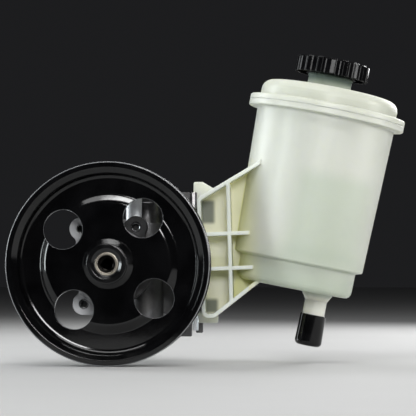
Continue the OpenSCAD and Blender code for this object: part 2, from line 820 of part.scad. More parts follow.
module bearing_cage() {
    half = ball_r + cage_wall * 0.7;
    mid_y = bearing_mid_y;
    color(bronze) difference() {
        yring(ball_pitch_r + cage_wall / 2, ball_pitch_r - cage_wall / 2, mid_y - half, mid_y + half);
        each_ball() translate([-cage_wall, 0, 0]) rotate([0, 90, 0])
            cylinder(r = ball_r + ball_gap, h = 2 * cage_wall);
    }
}

module bearing_snap_ring() {
    color(spring_steel) open_ring(bearing_r + 0.9, bearing_r - 2.4, nose_y + ring_inset, ring_end_y, 9);
}

// Shaft seal: rubber lip in a pressed case
module shaft_seal() {
    lip_r = journal_r + run_gap;
    back_y = seal_y + seal_t;
    color(rubber) yturn([[seal_r - seat_gap, seal_y], [seal_r - seat_gap, back_y],
        [lip_r + seal_wall * 0.45, back_y], [lip_r, back_y - seal_t * 0.25],
        [lip_r + seal_wall * 0.25, seal_y + seal_t * 0.3], [lip_r + edge, seal_y]]);
}

// Plain bush behind the seal
module shaft_bush() {
    color(bronze) yring(bush_r - seat_gap, journal_r + run_gap, bush_y, bush_y + bush_l);
}

// Housing: cast body with bearing nose, mounting face, valve boss, pump barrel and inlet boss
module bearing_nose() {
    yturn(rounded([[0, nose_y, 0], [nose_r, nose_y, nose_round], [nose_r, root_y, 0], [0, root_y, 0]]));
}

module mounting_plate() {
    low_ear = mounts[1];
    reach = mount_face_r + 2 * ear_r;
    difference() {
        xzplate(face_y, face_y + ear_t) {
            circle(r = mount_face_r);
            // Straight foot from the lower ear to the valve boss
            polygon([[low_ear[0], low_ear[1] - ear_r], [valve_x - valve_boss_r, low_ear[1] - ear_r],
                [valve_x - valve_boss_r, 0], [0, 0]]);
            for (m = mounts) translate(flat(m)) circle(r = ear_r, $fn = 48);
            for (m = mounts) polygon(hollow_neck(flat(m), mount_face_r, ear_r, ear_hollow));
        }
        // The rough side, set back behind the machined side
        translate([rough_x, face_y - over, -reach]) cube([reach, inner_setback + over, 2 * reach]);
    }
}

// The space of an ear, from its joint across the line between the shaft axis and its hole
module ear_space(m) {
    joint = norm(flat(m)) - mount_hole_d / 2 - ear_wall;
    reach = 4 * ear_r;
    rotate([0, -heading(flat(m)), 0]) translate([joint, face_y - over, -reach])
        cube([reach, ear_t + 2 * over, 2 * reach]);
}

module valve_boss() {
    at_valve() translate([0, 0, -valve_low]) cylinder(r = valve_boss_r, h = outlet_z + valve_low);
}

// Upright boss for the relief valve, in front of the outlet
module relief_boss() {
    translate([relief_x, valve_y - relief_lead, 0]) cylinder(r = relief_r, h = relief_h);
}

module pump_barrel() {
    flare = 8;
    ycyl(neck_body_r, root_y, chamber_y);
    yturn(rounded([[0, chamber_y - flare, 0], [neck_body_r, chamber_y - flare, 0], [barrel_r, chamber_y, 3],
        [barrel_r, barrel_y, 2], [0, barrel_y, 0]]));
}

module inlet_boss() {
    feed_cyl(inlet_boss_r, 0, inlet_x);
}

module shaft_bores() {
    cover_groove_y = cover_ring_y - stack_gap / 2;
    cover_groove_end_y = cover_ring_y + cover_ring_t + stack_gap / 2;
    ycyl(bearing_r, nose_y - over, bearing_end_y + stack_gap);
    yring(bearing_r + 1, bearing_r - over, nose_y + ring_inset - stack_gap / 2, ring_end_y + stack_gap / 2);
    ycyl(seal_r, bearing_end_y, seal_y + seal_t + stack_gap);
    ycyl(journal_r + snap_depth, bearing_end_y, chamber_y + over);
    ycyl(bush_r, bush_y - stack_gap, chamber_y + over);
    ycyl(chamber_r, chamber_y, barrel_y + over);
    yring(chamber_r + cover_groove, chamber_r - over, cover_groove_y, cover_groove_end_y);
}

module mounting_holes() {
    r = mount_hole_d / 2;
    for (m = mounts) translate([m[0], face_y + m[2], m[1]]) {
        ycyl(r, -over, m[3]);
        yturn([[0, -over], [r + m[4] + over, -over], [r, m[4]], [0, m[4]]]);
    }
}

module valve_bores() {
    gallery_r = 2.5;
    gallery_shift = 2;
    at_valve() {
        translate([0, 0, -valve_low - over]) cylinder(r = valve_bore_r, h = outlet_z + valve_low + 2 * over);
        translate([0, 0, outlet_z - shank_l]) cylinder(r = valve_thread_r, h = shank_l + over);
        translate([0, 0, -valve_low - over]) cylinder(r = valve_thread_r, h = plug_l + over + sink);
        // Spot faces round the outlet fitting and the plug
        translate([0, 0, outlet_z]) cylinder(r = outlet_r + spot_gap, h = outlet_h);
        translate([0, 0, -valve_low - outlet_h]) cylinder(r = plug_head_r + spot_gap, h = outlet_h);
    }
    // Pressure gallery from the chamber to the valve
    translate([valve_x - gallery_shift, 0, spool_top / 2]) ycyl(gallery_r, valve_y, chamber_y + over);
}

module inlet_bores() {
    feed_cyl(socket_r, inlet_x - inlet_depth, inlet_x + over);
    feed_cyl(feed_bore_r, chamber_r - inlet_wall, inlet_x - inlet_depth + over);
}

module pump_housing() {
    color(casting) difference() {
        union() {
            bearing_nose();
            difference() {
                mounting_plate();
                for (m = mounts) ear_space(m);
            }
            pump_barrel();
            valve_boss();
            relief_boss();
            inlet_boss();
        }
        shaft_bores();
        mounting_holes();
        valve_bores();
        inlet_bores();
    }
}

// Mounting ears: tapped, on the edge of the mounting face
module mounting_ear(m) {
    color(casting) difference() {
        intersection() {
            mounting_plate();
            ear_space(m);
        }
        pump_barrel();
        valve_boss();
        relief_boss();
        mounting_holes();
        valve_bores();
    }
}

module mount_ear_upper() {
    mounting_ear(mounts[0]);
}

module mount_ear_lower() {
    mounting_ear(mounts[1]);
}

module mount_ear_inner() {
    mounting_ear(mounts[2]);
}

// Carrier plate: upper and lower posts behind the bracket, with slots for the clips
module carrier_outline() {
    slot_top = [clip_x - slot_gap, ear_left_x + slot_lap];
    slot_low = [clip_low_x - slot_gap, ear_low_left_x + slot_lap];
    slot_z = clip_z - free_gap - slot_end;
    slot_low_z = clip_low_z - clip_w - free_gap - slot_end;
    clear_x = valve_x + max(outlet_r, valve_boss_r) + arm_gap;
    top_z = carrier_top_z + shelf;
    low_z = -carrier_low_z + 2 * shelf;
    post_top = post_z0 + post_h;
    low_post_end = low_post_z0 + low_post_h;
    polygon(rounded([[valve_x, outlet_z - arm_w, 0], [clear_x, outlet_z - arm_w, 3],
        [clear_x + arm_gap, carrier_top_z, 2], [slot_top[0], carrier_top_z, edge], [slot_top[0], slot_z, 0],
        [slot_top[1], slot_z, 0], [slot_top[1], top_z, edge], [slot_top[1] + finger_w, top_z, edge],
        [slot_top[1] + finger_w, post_top, 0], [post_x1, post_top, 2], [post_x1, post_z0, 2],
        [carrier_x1, post_z0, 4], [carrier_x1, -low_post_z0, 4], [low_post_x1, -low_post_z0, 2],
        [low_post_x1, -low_post_end, 2], [slot_low[1] + finger_w, -low_post_end, 0],
        [slot_low[1] + finger_w, low_z, edge], [slot_low[1], low_z, edge], [slot_low[1], -slot_low_z, 0],
        [slot_low[0], -slot_low_z, 0], [slot_low[0], -carrier_low_z, edge],
        [clear_x + arm_gap, -carrier_low_z, 3], [clear_x, arm_w - valve_low, 3],
        [valve_x, arm_w - valve_low, 0]]));
}

module carrier_plate() {
    color(casting) difference() {
        union() {
            xzplate(carrier_y, carrier_end_y) carrier_outline();
            // Rib between the plate and the inlet boss
            translate([valve_x, carrier_y + sink, feed_z - inlet_wall])
                cube([inlet_x - valve_x - inlet_wall, feed_back, 2 * inlet_wall]);
        }
        pump_barrel();
        valve_boss();
        inlet_boss();
        valve_bores();
    }
}

// Side plates and cam ring, pinned together
module dowel_set(r) {
    for (s = [-1, 1]) translate([0, 0, s * (group_r - 2 * dowel_r)])
        ycyl(r, front_plate_y + 3, spring_y - 1);
}

module kidney_ports(y0, y1) {
    port_r = 1.8;
    for (a = [45, 225]) for (k = [-1, 0, 1]) rotate([0, a + 12 * k, 0])
        translate([rotor_r - 3, 0, 0]) ycyl(port_r, y0, y1);
}

module front_plate() {
    color(steel) difference() {
        yring(group_r, journal_r + snap_depth, front_plate_y, front_plate_y + plate_t);
        dowel_set(dowel_r + run_gap);
        kidney_ports(front_plate_y - over, front_plate_y + plate_t + over);
    }
}

module cam_ring() {
    track_n = 90;
    track_r = rotor_r + fine;
    track = [for (i = [0 : track_n - 1]) let (a = i * 360 / track_n)
        (track_r + cam_lift * (1 - cos(2 * a)) / 2) * [cos(a), sin(a)]];
    color(steel) difference() {
        ycyl(group_r, ring_y, ring_y + ring_w);
        xzplate(ring_y - over, ring_y + ring_w + over) rotate(90) polygon(track);
        dowel_set(dowel_r + run_gap);
    }
}

module rear_plate() {
    port_depth = 3;
    color(steel) difference() {
        yring(group_r, spline_r + 2.6, rear_plate_y, spring_y);
        dowel_set(dowel_r + run_gap);
        kidney_ports(rear_plate_y - over, rear_plate_y + port_depth);
    }
}

module dowel_pins() {
    color(plated_steel) dowel_set(dowel_r);
}

// Spring that presses the plates together
module plate_spring() {
    turns = 2;
    rise = spring_space - 2 * plate_wire_r - 3 * stack_gap;
    color(spring_steel) translate([0, spring_y + plate_wire_r + stack_gap, 0]) rotate([-90, 0, 0])
        coil(chamber_r - plate_spring_inset, plate_wire_r, rise / turns, turns, 18);
}

// End cover, its O-ring and its retaining ring
module end_cover() {
    groove_y = cover_y + cover_t / 2;
    groove_half = oring_r + oring_side;
    back_y = cover_y + cover_t;
    dish = 2;
    land = 5;
    boss_r = 9;
    color(spring_steel) difference() {
        yturn(rounded([[0, cover_y, 0], [group_r, cover_y, 1], [group_r, back_y, 0],
            [group_r - land, back_y, fine], [group_r - land - dish, back_y - dish, fine],
            [boss_r + dish, back_y - dish, fine], [boss_r, back_y, fine], [0, back_y, 0]]));
        yring(group_r + over, group_r - 2 * oring_r, groove_y - groove_half, groove_y + groove_half);
    }
}

module end_cover_oring() {
    color(rubber) yoring(group_r - oring_r + stack_gap / 2, oring_r, cover_y + cover_t / 2);
}

module end_cover_ring() {
    r = chamber_r + cover_groove - stack_gap;
    in_r = chamber_r - 2;
    gap = 16;
    color(spring_steel) open_ring(r, in_r, cover_ring_y, cover_ring_y + cover_ring_t, gap);
}

// Flow valve: spool under the outlet fitting, pushed up by its spring
module valve_spool() {
    r = spool_d / 2;
    pocket_r = r - 3;
    waist_r = r - 2.5;
    land = 11;
    groove_w = 0.8;
    color(plated_steel) at_valve() difference() {
        zturn(rounded([[0, spool_low + spool_pocket, 0], [pocket_r, spool_low + spool_pocket, 0],
            [pocket_r, spool_low, 0], [r, spool_low, fine], [r, spool_low + land, 0],
            [waist_r, spool_low + land + 1, 0], [waist_r, spool_top - land - 1, 0], [r, spool_top - land, 0],
            [r, spool_top, fine], [0, spool_top, 0]]));
        for (z = [spool_low + land - 3.5, spool_top - 4, spool_top - 7])
            zring(r + over, r - fine, z, groove_w);
    }
}

module valve_spring() {
    turns = 6;
    low = plug_top + valve_wire_r + stack_gap;
    top = spool_low + spool_pocket - valve_wire_r - stack_gap;
    color(spring_steel) at_valve() translate([0, 0, low])
        coil(spool_d / 2 - 4.2, valve_wire_r, (top - low) / turns, turns, 12);
}

module valve_plug() {
    color(plated_steel) at_valve() difference() {
        union() {
            translate([0, 0, -valve_low]) cylinder(r = valve_thread_r - seat_gap, h = plug_top + valve_low);
            translate([0, 0, -valve_low - plug_head_t]) cylinder(r = plug_head_r, h = plug_head_t);
            translate([0, 0, -valve_low - plug_head_t - plug_hex_h])
                cylinder(r = valve_thread_r + 1.5, h = plug_hex_h + sink, $fn = 6);
        }
        oring_groove(valve_thread_r, plug_oring_z);
    }
}

module valve_plug_oring() {
    color(rubber) at_valve() translate([0, 0, plug_oring_z])
        torus(valve_thread_r - oring_r - stack_gap / 2, oring_r);
}

module outlet_fitting() {
    top_z = outlet_z + outlet_h;
    bore_r = 3;
    hex_side = 0.6;
    color(plated_steel) at_valve() difference() {
        union() {
            translate([0, 0, outlet_z - shank_l]) cylinder(r = valve_thread_r - seat_gap, h = shank_l);
            zturn(rounded([[0, outlet_z, 0], [outlet_r, outlet_z, 0], [outlet_r, top_z - outlet_hex_h, 1],
                [0, top_z - outlet_hex_h, 0]]));
            translate([0, 0, top_z - outlet_hex_h - sink])
                cylinder(r = outlet_r + hex_side, h = outlet_hex_h + sink, $fn = 6);
        }
        translate([0, 0, top_z - port_l]) cylinder(r = port_d / 2, h = port_l + over);
        translate([0, 0, outlet_z - shank_l - over]) cylinder(r = bore_r, h = shank_l + outlet_h);
        oring_groove(valve_thread_r, outlet_oring_z);
    }
}

module outlet_oring() {
    color(rubber) at_valve() translate([0, 0, outlet_oring_z])
        torus(valve_thread_r - oring_r - stack_gap / 2, oring_r);
}

// Reservoir: moulded lower tank with its bracket, feed tube and return nipple
module tank_outside() {
    zturn(rounded([[0, 0, 0], [foot_r, 0, foot_round], [foot_r + fine, shoulder_h - shoulder_slope, 1.2],
        [shoulder_r, shoulder_h, 1.5], [brim_r, flange_h, 2], [flange_r, flange_h, 1],
        [flange_r, seam_h - seam_groove, 0], [flange_r - seam_groove, seam_h, 0], [0, seam_h, 0]]));
}

module tank_inside() {
    w = tank_wall;
    ledge_h = shoulder_h - shoulder_slope + w;
    zturn(rounded([[0, w, 0], [foot_r - w, w, foot_round - 1], [foot_r - w, ledge_h, 1],
        [shoulder_r - w, shoulder_h + w, 1], [brim_r - w, flange_h, 0], [brim_r - w, seam_h + over, 0],
        [0, seam_h + over, 0]]));
}

// Corners of the bracket's walls on their middle line, with the last two inside the reservoir
function tray() = [[tray_x0, tray_top_z, 4], [tray_x0 + tray_lean, -tray_low_z, 3.5],
    [tray_x0 + tray_foot_w, -tray_low_z + fine, 3], [tank_x - tray_bury, tray_low_rise - tray_low_z, 0],
    [tank_x - tray_bury, tray_top_z + tray_rise, 0]];

// Points of the ribs' middle lines
function upright_at(z) = [rib_x + (rib_pivot_z - z) * tan(rib_lean), z];
function cross_at(x, z) = [x, z + (x - rib_x) * tan(rib_roll)];

module bracket_ears() {
    root_x = tray_x0 + ear_root;
    slope_x = root_x + ear_root;
    slope_z = ear_top_z - ear_root;
    polygon(rounded([[ear_left_x, ear_top_z0, 1], [root_x, ear_top_z0, 0], [slope_x, slope_z, 1],
        [tray_x0 + 2, ear_top_z, 2], [ear_left_x, ear_top_z, 1.5]]));
    polygon(rounded([[ear_low_left_x, -ear_low_z, 1], [ear_low_right_x, -ear_low_z, 1.5],
        [ear_low_right_x, -tray_low_z + 2 * rib_t, 0], [ear_low_left_x, -tray_low_z + rib_t, 1]]));
}

module bracket() {
    out = inset(tray(), -rib_t / 2);
    in = inset(tray(), rib_t / 2);
    xzplate(plate_y, plate_y + plate_wall) {
        polygon(rounded(out));
        bracket_ears();
    }
    // Open-fronted walls and the rib grid
    xzplate(rib_y, plate_y + sink) {
        difference() {
            polygon(rounded(out));
            polygon(rounded(in));
        }
        intersection() {
            polygon(rounded(out));
            union() {
                polygon(strip(upright_at(tray_top_z + tray_rise), upright_at(-tray_low_z), rib_t));
                for (z = [rib_z1, rib_z2])
                    polygon(strip(cross_at(tray_x0, z), cross_at(tank_x - tray_bury, z), rib_t));
            }
        }
    }
}

module nipple() {
    lead = 1.5;
    translate([nipple_offset, 0, 0]) zturn([[0, -nipple_l], [nipple_r - fine, -nipple_l],
        [nipple_r, -nipple_l + lead], [nipple_r + nipple_bead, -nipple_l + 2 * lead],
        [nipple_r + nipple_bead, -nipple_l + 2.5 * lead],
        [nipple_r, -nipple_l + 3 * lead], [nipple_r, -nipple_root_h], [nipple_root_r, sink], [0, sink]]);
}

module reservoir_tank() {
    tube_end_x = tank_x - tray_bury;
    color(natural_plastic) difference() {
        union() {
            on_tank() tank_outside();
            on_tank() nipple();
            bracket();
            feed_cyl(feed_r, feed_tip_x, tube_end_x);
            // Web between the plate and the feed tube
            translate([tray_x0 + ear_root, plate_y + sink, feed_z - rib_t / 2])
                cube([tube_end_x - tray_x0 - ear_root, feed_back + plate_reach - feed_r, rib_t]);
        }
        on_tank() tank_inside();
        on_tank() translate([nipple_offset, 0, -nipple_l - over])
            cylinder(r = nipple_bore_r, h = nipple_l + tank_wall + 2 * over);
        feed_cyl(feed_bore_r, feed_tip_x - over, tube_end_x + over);
        translate([feed_groove_x, feed_y, feed_z]) rotate([0, 90, 0]) oring_groove(socket_r, 0);
    }
}

// Reservoir top: domed lid welded on at the flange, with the filler neck
module top_outside() {
    crown = 3;
    bead = 0.6;
    zturn(rounded([[0, seam_h, 0], [flange_r - seam_groove, seam_h, 0], [flange_r, seam_h + seam_groove, 0],
        [flange_r, flange_top_h, 1], [dome_r, flange_top_h, 1], [dome_r, dome_top_h - crown, dome_round],
        [0, dome_top_h, 0]], 5));
    translate([neck_offset, 0, 0]) zturn([[0, flange_top_h], [neck_r, flange_top_h],
        [neck_r, cap_h0 - 2 * edge], [neck_r + bead, cap_h0 - 2 * edge],
        [neck_r + bead, cap_h0 - fine], [neck_r, cap_h0 - fine],
        [neck_r, neck_top_h], [0, neck_top_h]]);
}

module top_inside() {
    w = tank_wall;
    crown = 3;
    zturn(rounded([[0, seam_h - over, 0], [dome_r - w, seam_h - over, 0],
        [dome_r - w, dome_top_h - crown - w, dome_round - w / 2], [0, dome_top_h - w, 0]]));
}

module reservoir_top() {
    color(natural_plastic) on_tank() difference() {
        top_outside();
        top_inside();
        translate([neck_offset, 0, seam_h]) cylinder(r = neck_bore_r, h = neck_top_h);
    }
}

// Filler cap: fluted black cap, hollow underneath, with a threaded skirt round the neck
module filler_cap() {
    skirt_in_r = neck_r + free_gap;
    skirt_r = skirt_in_r + skirt_wall;
    top_h = cap_h0 + cap_h;
    rim = 6;
    dish = 0.8;
    color(black_plastic) on_tank() translate([neck_offset, 0, 0]) difference() {
        zturn(rounded([[0, cap_roof_h, 0], [skirt_in_r, cap_roof_h, 0], [skirt_in_r, cap_h0, 0],
            [skirt_r, cap_h0, 0], [skirt_r, cap_roof_h, 0], [cap_r - cap_wall, cap_roof_h - 1, 0],
            [cap_r - cap_wall, cap_h0, 0], [cap_r, cap_h0, 0.6], [cap_r, top_h, 1.2], [cap_r - rim, top_h, 1],
            [cap_r - rim - 2 * dish, top_h - dish, 1], [0, top_h - dish, 0]]));
        for (i = [0 : flute_n - 1]) rotate([0, 0, i * 360 / flute_n])
            translate([cap_r + flute_r - flute_depth, 0, cap_h0 - over])
                cylinder(r = flute_r, h = cap_h + 2 * over);
    }
}

module cap_gasket() {
    color(rubber) on_tank() translate([neck_offset, 0, 0])
        zring(neck_r - side_gap, neck_bore_r, neck_top_h + free_gap, gasket_t);
}

// Dipstick: flat blade hung from the cap
module dipstick() {
    root_r = 4.5;
    root_l = 8;
    root_h = cap_roof_h - root_l;
    color(black_plastic) on_tank() translate([neck_offset, 0, 0]) {
        translate([0, 0, root_h]) cylinder(r = root_r, h = root_l);
        translate([-blade_w / 2, -blade_t / 2, root_h - blade_l]) cube([blade_w, blade_t, blade_l + sink]);
    }
}

// Return filter: canister with windows, over the return nipple
module return_filter() {
    sill = 12;
    window_w = 2 * PI * filter_r / filter_n - 5.5;
    color(natural_plastic) on_tank() translate([filter_offset, 0, tank_wall]) difference() {
        cylinder(r = filter_r, h = filter_h);
        translate([0, 0, -over]) cylinder(r = filter_r - filter_wall, h = filter_h + over - filter_wall);
        for (i = [0 : filter_n - 1]) rotate([0, 0, i * 360 / filter_n])
            translate([filter_r / 2, -window_w / 2, sill]) cube([filter_r, window_w, filter_h - 2 * sill]);
    }
}

// Soft cap pulled over the return nipple
module return_port_cap() {
    in_r = nipple_r + nipple_bead + free_gap / 2;
    top = port_cap_end + port_cap_l;
    floor_h = port_cap_end + port_cap_t;
    color(black_plastic) on_tank() translate([nipple_offset, 0, 0])
        zturn(rounded([[0, port_cap_end, 0], [port_cap_r, port_cap_end, 3.5],
            [port_cap_r - port_cap_taper, top, fine], [in_r, top, 0], [in_r, floor_h, 0],
            [0, floor_h, 0]], 5));
}

module feed_oring() {
    color(rubber) translate([feed_groove_x, feed_y, feed_z]) rotate([0, 90, 0])
        torus(socket_r - oring_r - stack_gap / 2, oring_r);
}

// Spring clips that hold the bracket ears to the carrier posts
module clip(x, z0) {
    y0 = plate_y - free_gap - clip_t;
    y1 = carrier_end_y + free_gap + clip_t;
    tip_x = x + clip_reach + 1.6;
    curl = 1;
    color(plated_steel) translate([0, 0, z0]) linear_extrude(height = clip_w)
        polygon(rounded([[x, y0, edge], [x + clip_reach, y0, 0], [tip_x, y0 - curl, fine / 2],
            [tip_x, y0 + fine, fine / 2], [x + clip_reach, y0 + clip_t, 0],
            [x + clip_t, y0 + clip_t, 0], [x + clip_t, y1 - clip_t, 0],
            [x + clip_reach, y1 - clip_t, 0], [tip_x, y1 - fine, fine / 2], [tip_x, y1 + curl, fine / 2],
            [x + clip_reach, y1, 0], [x, y1, edge]]));
}

module clip_upper() {
    clip(clip_x, clip_z);
}

module clip_lower() {
    clip(clip_low_x, -clip_low_z);
}

pulley();
pulley_hub();
drive_shaft();
rotor();
vanes();
rotor_snap_ring();
bearing_inner_race();
bearing_outer_race();
bearing_balls();
bearing_cage();
bearing_snap_ring();
shaft_seal();
shaft_bush();
pump_housing();
mount_ear_upper();
mount_ear_lower();
mount_ear_inner();
carrier_plate();
front_plate();
cam_ring();
rear_plate();
dowel_pins();
plate_spring();
end_cover();
end_cover_oring();
end_cover_ring();
valve_spool();
valve_spring();
valve_plug();
valve_plug_oring();
outlet_fitting();
outlet_oring();
reservoir_tank();
reservoir_top();
filler_cap();
cap_gasket();
dipstick();
return_filter();
return_port_cap();
feed_oring();
clip_upper();
clip_lower();
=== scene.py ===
import math
import bpy
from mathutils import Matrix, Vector


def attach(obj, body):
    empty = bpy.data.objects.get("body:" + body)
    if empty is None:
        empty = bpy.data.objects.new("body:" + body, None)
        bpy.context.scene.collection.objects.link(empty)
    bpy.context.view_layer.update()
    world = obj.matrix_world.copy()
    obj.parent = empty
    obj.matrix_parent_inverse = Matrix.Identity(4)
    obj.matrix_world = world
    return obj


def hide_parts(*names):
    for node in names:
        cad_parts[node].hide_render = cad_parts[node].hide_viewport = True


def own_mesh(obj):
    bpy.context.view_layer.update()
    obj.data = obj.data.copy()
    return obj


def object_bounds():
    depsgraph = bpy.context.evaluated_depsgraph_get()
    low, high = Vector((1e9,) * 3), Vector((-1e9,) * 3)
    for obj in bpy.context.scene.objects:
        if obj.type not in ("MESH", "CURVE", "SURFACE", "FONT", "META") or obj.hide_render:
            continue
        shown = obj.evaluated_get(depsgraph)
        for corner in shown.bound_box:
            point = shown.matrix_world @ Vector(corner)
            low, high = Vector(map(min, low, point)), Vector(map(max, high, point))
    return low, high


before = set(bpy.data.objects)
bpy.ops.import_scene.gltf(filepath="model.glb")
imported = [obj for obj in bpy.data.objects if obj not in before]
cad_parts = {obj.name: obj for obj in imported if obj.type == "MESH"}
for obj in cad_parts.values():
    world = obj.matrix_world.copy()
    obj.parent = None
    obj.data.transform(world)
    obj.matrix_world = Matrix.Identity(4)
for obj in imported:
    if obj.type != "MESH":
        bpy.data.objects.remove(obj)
cadLow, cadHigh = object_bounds()  # box of the solids
scene = bpy.context.scene
scene.view_settings.view_transform = "Standard"
bpy.ops.object.select_all(action="DESELECT")
print("frame loaded:", len(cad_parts), "nodes")


# small helpers for node trees
def addNode(tree, kind, inputs=None, **settings):
    node = tree.nodes.new(kind)
    for key, value in settings.items():
        setattr(node, key, value)
    for key, value in (inputs or {}).items():
        node.inputs[key].default_value = value
    return node


def join(tree, source, target):
    tree.links.new(source, target)


def mathNode(tree, operation, first, second=None):
    node = addNode(tree, "ShaderNodeMath", operation=operation)
    for socket, value in zip(node.inputs, (first, second)):
        if isinstance(value, (int, float)):
            socket.default_value = value
        elif value is not None:
            join(tree, value, socket)
    return node.outputs[0]


def share(tree, mask, amount):
    return mathNode(tree, "MULTIPLY", mask, amount)


def inverse(tree, mask):
    return mathNode(tree, "SUBTRACT", 1.0, mask)


def both(tree, *masks):
    result = masks[0]
    for mask in masks[1:]:
        result = mathNode(tree, "MULTIPLY", result, mask)
    return result


def axes(tree, vector):
    apart = addNode(tree, "ShaderNodeSeparateXYZ")
    join(tree, vector, apart.inputs["Vector"])
    return apart.outputs["X"], apart.outputs["Y"], apart.outputs["Z"]


def fromCentre(tree, first, second):
    squares = [mathNode(tree, "POWER", value, 2.0) for value in (first, second)]
    return mathNode(tree, "SQRT", mathNode(tree, "ADD", *squares))


def ramp(tree, source, low, high, toLow=0.0, toHigh=1.0, smooth=True):
    node = addNode(tree, "ShaderNodeMapRange", interpolation_type="SMOOTHSTEP" if smooth else "LINEAR",
                   inputs={"From Min": low, "From Max": high, "To Min": toLow, "To Max": toHigh})
    join(tree, source, node.inputs["Value"])
    return node.outputs["Result"]


def blendColours(tree, mask, first, second, mode="MIX"):
    node = addNode(tree, "ShaderNodeMix", data_type="RGBA", blend_type=mode)
    colourSockets = [s for s in node.inputs if s.type == "RGBA"]
    for socket, value in zip([node.inputs[0], *colourSockets], (mask, first, second)):
        if isinstance(value, (int, float)):
            socket.default_value = value
        elif isinstance(value, tuple):
            socket.default_value = (*value, 1.0)
        else:
            join(tree, value, socket)
    return [s for s in node.outputs if s.type == "RGBA"][0]


def darken(tree, mask, colour, tint):
    return blendColours(tree, mask, colour, blendColours(tree, 1.0, colour, tint, "MULTIPLY"))


def newGroup(name, inputs, outputs):
    group = bpy.data.node_groups.new(name, "ShaderNodeTree")
    for label, default in inputs.items():  # a place is a vector and has no default
        kind = "NodeSocketVector" if default is None else "NodeSocketFloat"
        socket = group.interface.new_socket(label, in_out="INPUT", socket_type=kind)
        if default is not None:
            socket.default_value = default
    for label in outputs:
        group.interface.new_socket(label, in_out="OUTPUT", socket_type="NodeSocketFloat")
    return group, addNode(group, "NodeGroupInput"), addNode(group, "NodeGroupOutput")


def newMaterial(name):
    material = bpy.data.materials.new(name)
    material.use_nodes = True
    tree = material.node_tree
    place = addNode(tree, "ShaderNodeTexCoord").outputs["Object"]
    return material, tree, tree.nodes["Principled BSDF"], place


# rounded edges, and where paint thins on them and a painted highlight lightens them
edgeSettings = {
    "softRays": 6,
    "wearRays": 8,
    "wearSpan": (0.985, 0.90),  # cosines of the turn from the true normal to the rounded one
}


def relief(tree, shader, height, strength, depth, edge):  # bump over softened edges
    bevel = addNode(tree, "ShaderNodeBevel", inputs={"Radius": edge}, samples=edgeSettings["softRays"])
    bump = addNode(tree, "ShaderNodeBump", inputs={"Strength": strength, "Distance": depth})
    join(tree, height, bump.inputs["Height"])
    join(tree, bevel.outputs["Normal"], bump.inputs["Normal"])
    join(tree, bump.outputs["Normal"], shader.inputs["Normal"])


# fine and broad mottling that several finishes share
grainSettings = {
    "fine": {"Detail": 3.0, "Roughness": 0.55},
    "broad": {"Detail": 4.0, "Roughness": 0.6},
    "toneSpan": (0.32, 0.68),
    "toneShare": 0.7,
    "fineShare": 0.3,
}


def makeGrain():
    group, start, end = newGroup(
        "surfaceGrain",
        {"Place": None, "Fine Scale": 900.0, "Broad Scale": 60.0, "Low": 0.2, "High": 0.4},
        ["Tone", "Gloss", "Height"])
    fine = addNode(group, "ShaderNodeTexNoise", inputs=grainSettings["fine"])
    broad = addNode(group, "ShaderNodeTexNoise", inputs=grainSettings["broad"])
    for noise, scale in ((fine, "Fine Scale"), (broad, "Broad Scale")):
        join(group, start.outputs["Place"], noise.inputs["Vector"])
        join(group, start.outputs[scale], noise.inputs["Scale"])
    tone = ramp(group, broad.outputs["Fac"], *grainSettings["toneSpan"])
    mixed = mathNode(group, "ADD", share(group, tone, grainSettings["toneShare"]),
                     share(group, fine.outputs["Fac"], grainSettings["fineShare"]))
    span = mathNode(group, "SUBTRACT", start.outputs["High"], start.outputs["Low"])
    gloss = mathNode(group, "ADD", mathNode(group, "MULTIPLY", mixed, span), start.outputs["Low"])
    join(group, tone, end.inputs["Tone"])
    join(group, gloss, end.inputs["Gloss"])
    join(group, fine.outputs["Fac"], end.inputs["Height"])
    return group


# rings left by the lathe around the shaft's axis
latheNoise = {"Scale": 140.0, "Detail": 2.0}


def makeLatheMarks():
    group, start, end = newGroup("latheMarks", {"Place": None, "Pitch": 0.0004, "Wander": 0.0002},
                                 ["Height", "Radius"])
    x, y, z = axes(group, start.outputs["Place"])
    radius = fromCentre(group, x, z)
    noise = addNode(group, "ShaderNodeTexNoise", inputs=latheNoise)
    join(group, start.outputs["Place"], noise.inputs["Vector"])
    wander = mathNode(group, "MULTIPLY", noise.outputs["Fac"], start.outputs["Wander"])
    along = mathNode(group, "ADD", mathNode(group, "ADD", radius, y), wander)
    turns = mathNode(group, "DIVIDE", along, start.outputs["Pitch"])
    wave = mathNode(group, "SINE", mathNode(group, "MULTIPLY", turns, 2 * math.pi))
    join(group, ramp(group, wave, -1.0, 1.0), end.inputs["Height"])
    join(group, radius, end.inputs["Radius"])
    return group


# soft-edged mask between two values
def makeSlab():
    group, start, end = newGroup(
        "slabMask", {"Value": 0.0, "From": 0.0, "To": 1.0, "Soft": 0.001}, ["Mask"])
    sides = []
    for upper, lower in (("Value", "From"), ("To", "Value")):
        gap = mathNode(group, "SUBTRACT", start.outputs[upper], start.outputs[lower])
        side = mathNode(group, "DIVIDE", gap, start.outputs["Soft"])
        sides.append(mathNode(group, "ADD", side, 0.5))  # half a mask at each limit
    join(group, ramp(group, mathNode(group, "MINIMUM", *sides), 0.0, 1.0), end.inputs["Mask"])
    return group


# mask of the edges, for worn paint and a painted edge highlight
def makeEdgeWearHighlight():
    group, start, end = newGroup("edgeWearHighlight", {"Reach": 0.0006}, ["Mask"])
    rounded = addNode(group, "ShaderNodeBevel", samples=edgeSettings["wearRays"])
    join(group, start.outputs["Reach"], rounded.inputs["Radius"])
    across = addNode(group, "ShaderNodeVectorMath", operation="DOT_PRODUCT")
    join(group, rounded.outputs["Normal"], across.inputs[0])
    join(group, addNode(group, "ShaderNodeNewGeometry").outputs["Normal"], across.inputs[1])
    join(group, ramp(group, across.outputs["Value"], *edgeSettings["wearSpan"]), end.inputs["Mask"])
    return group


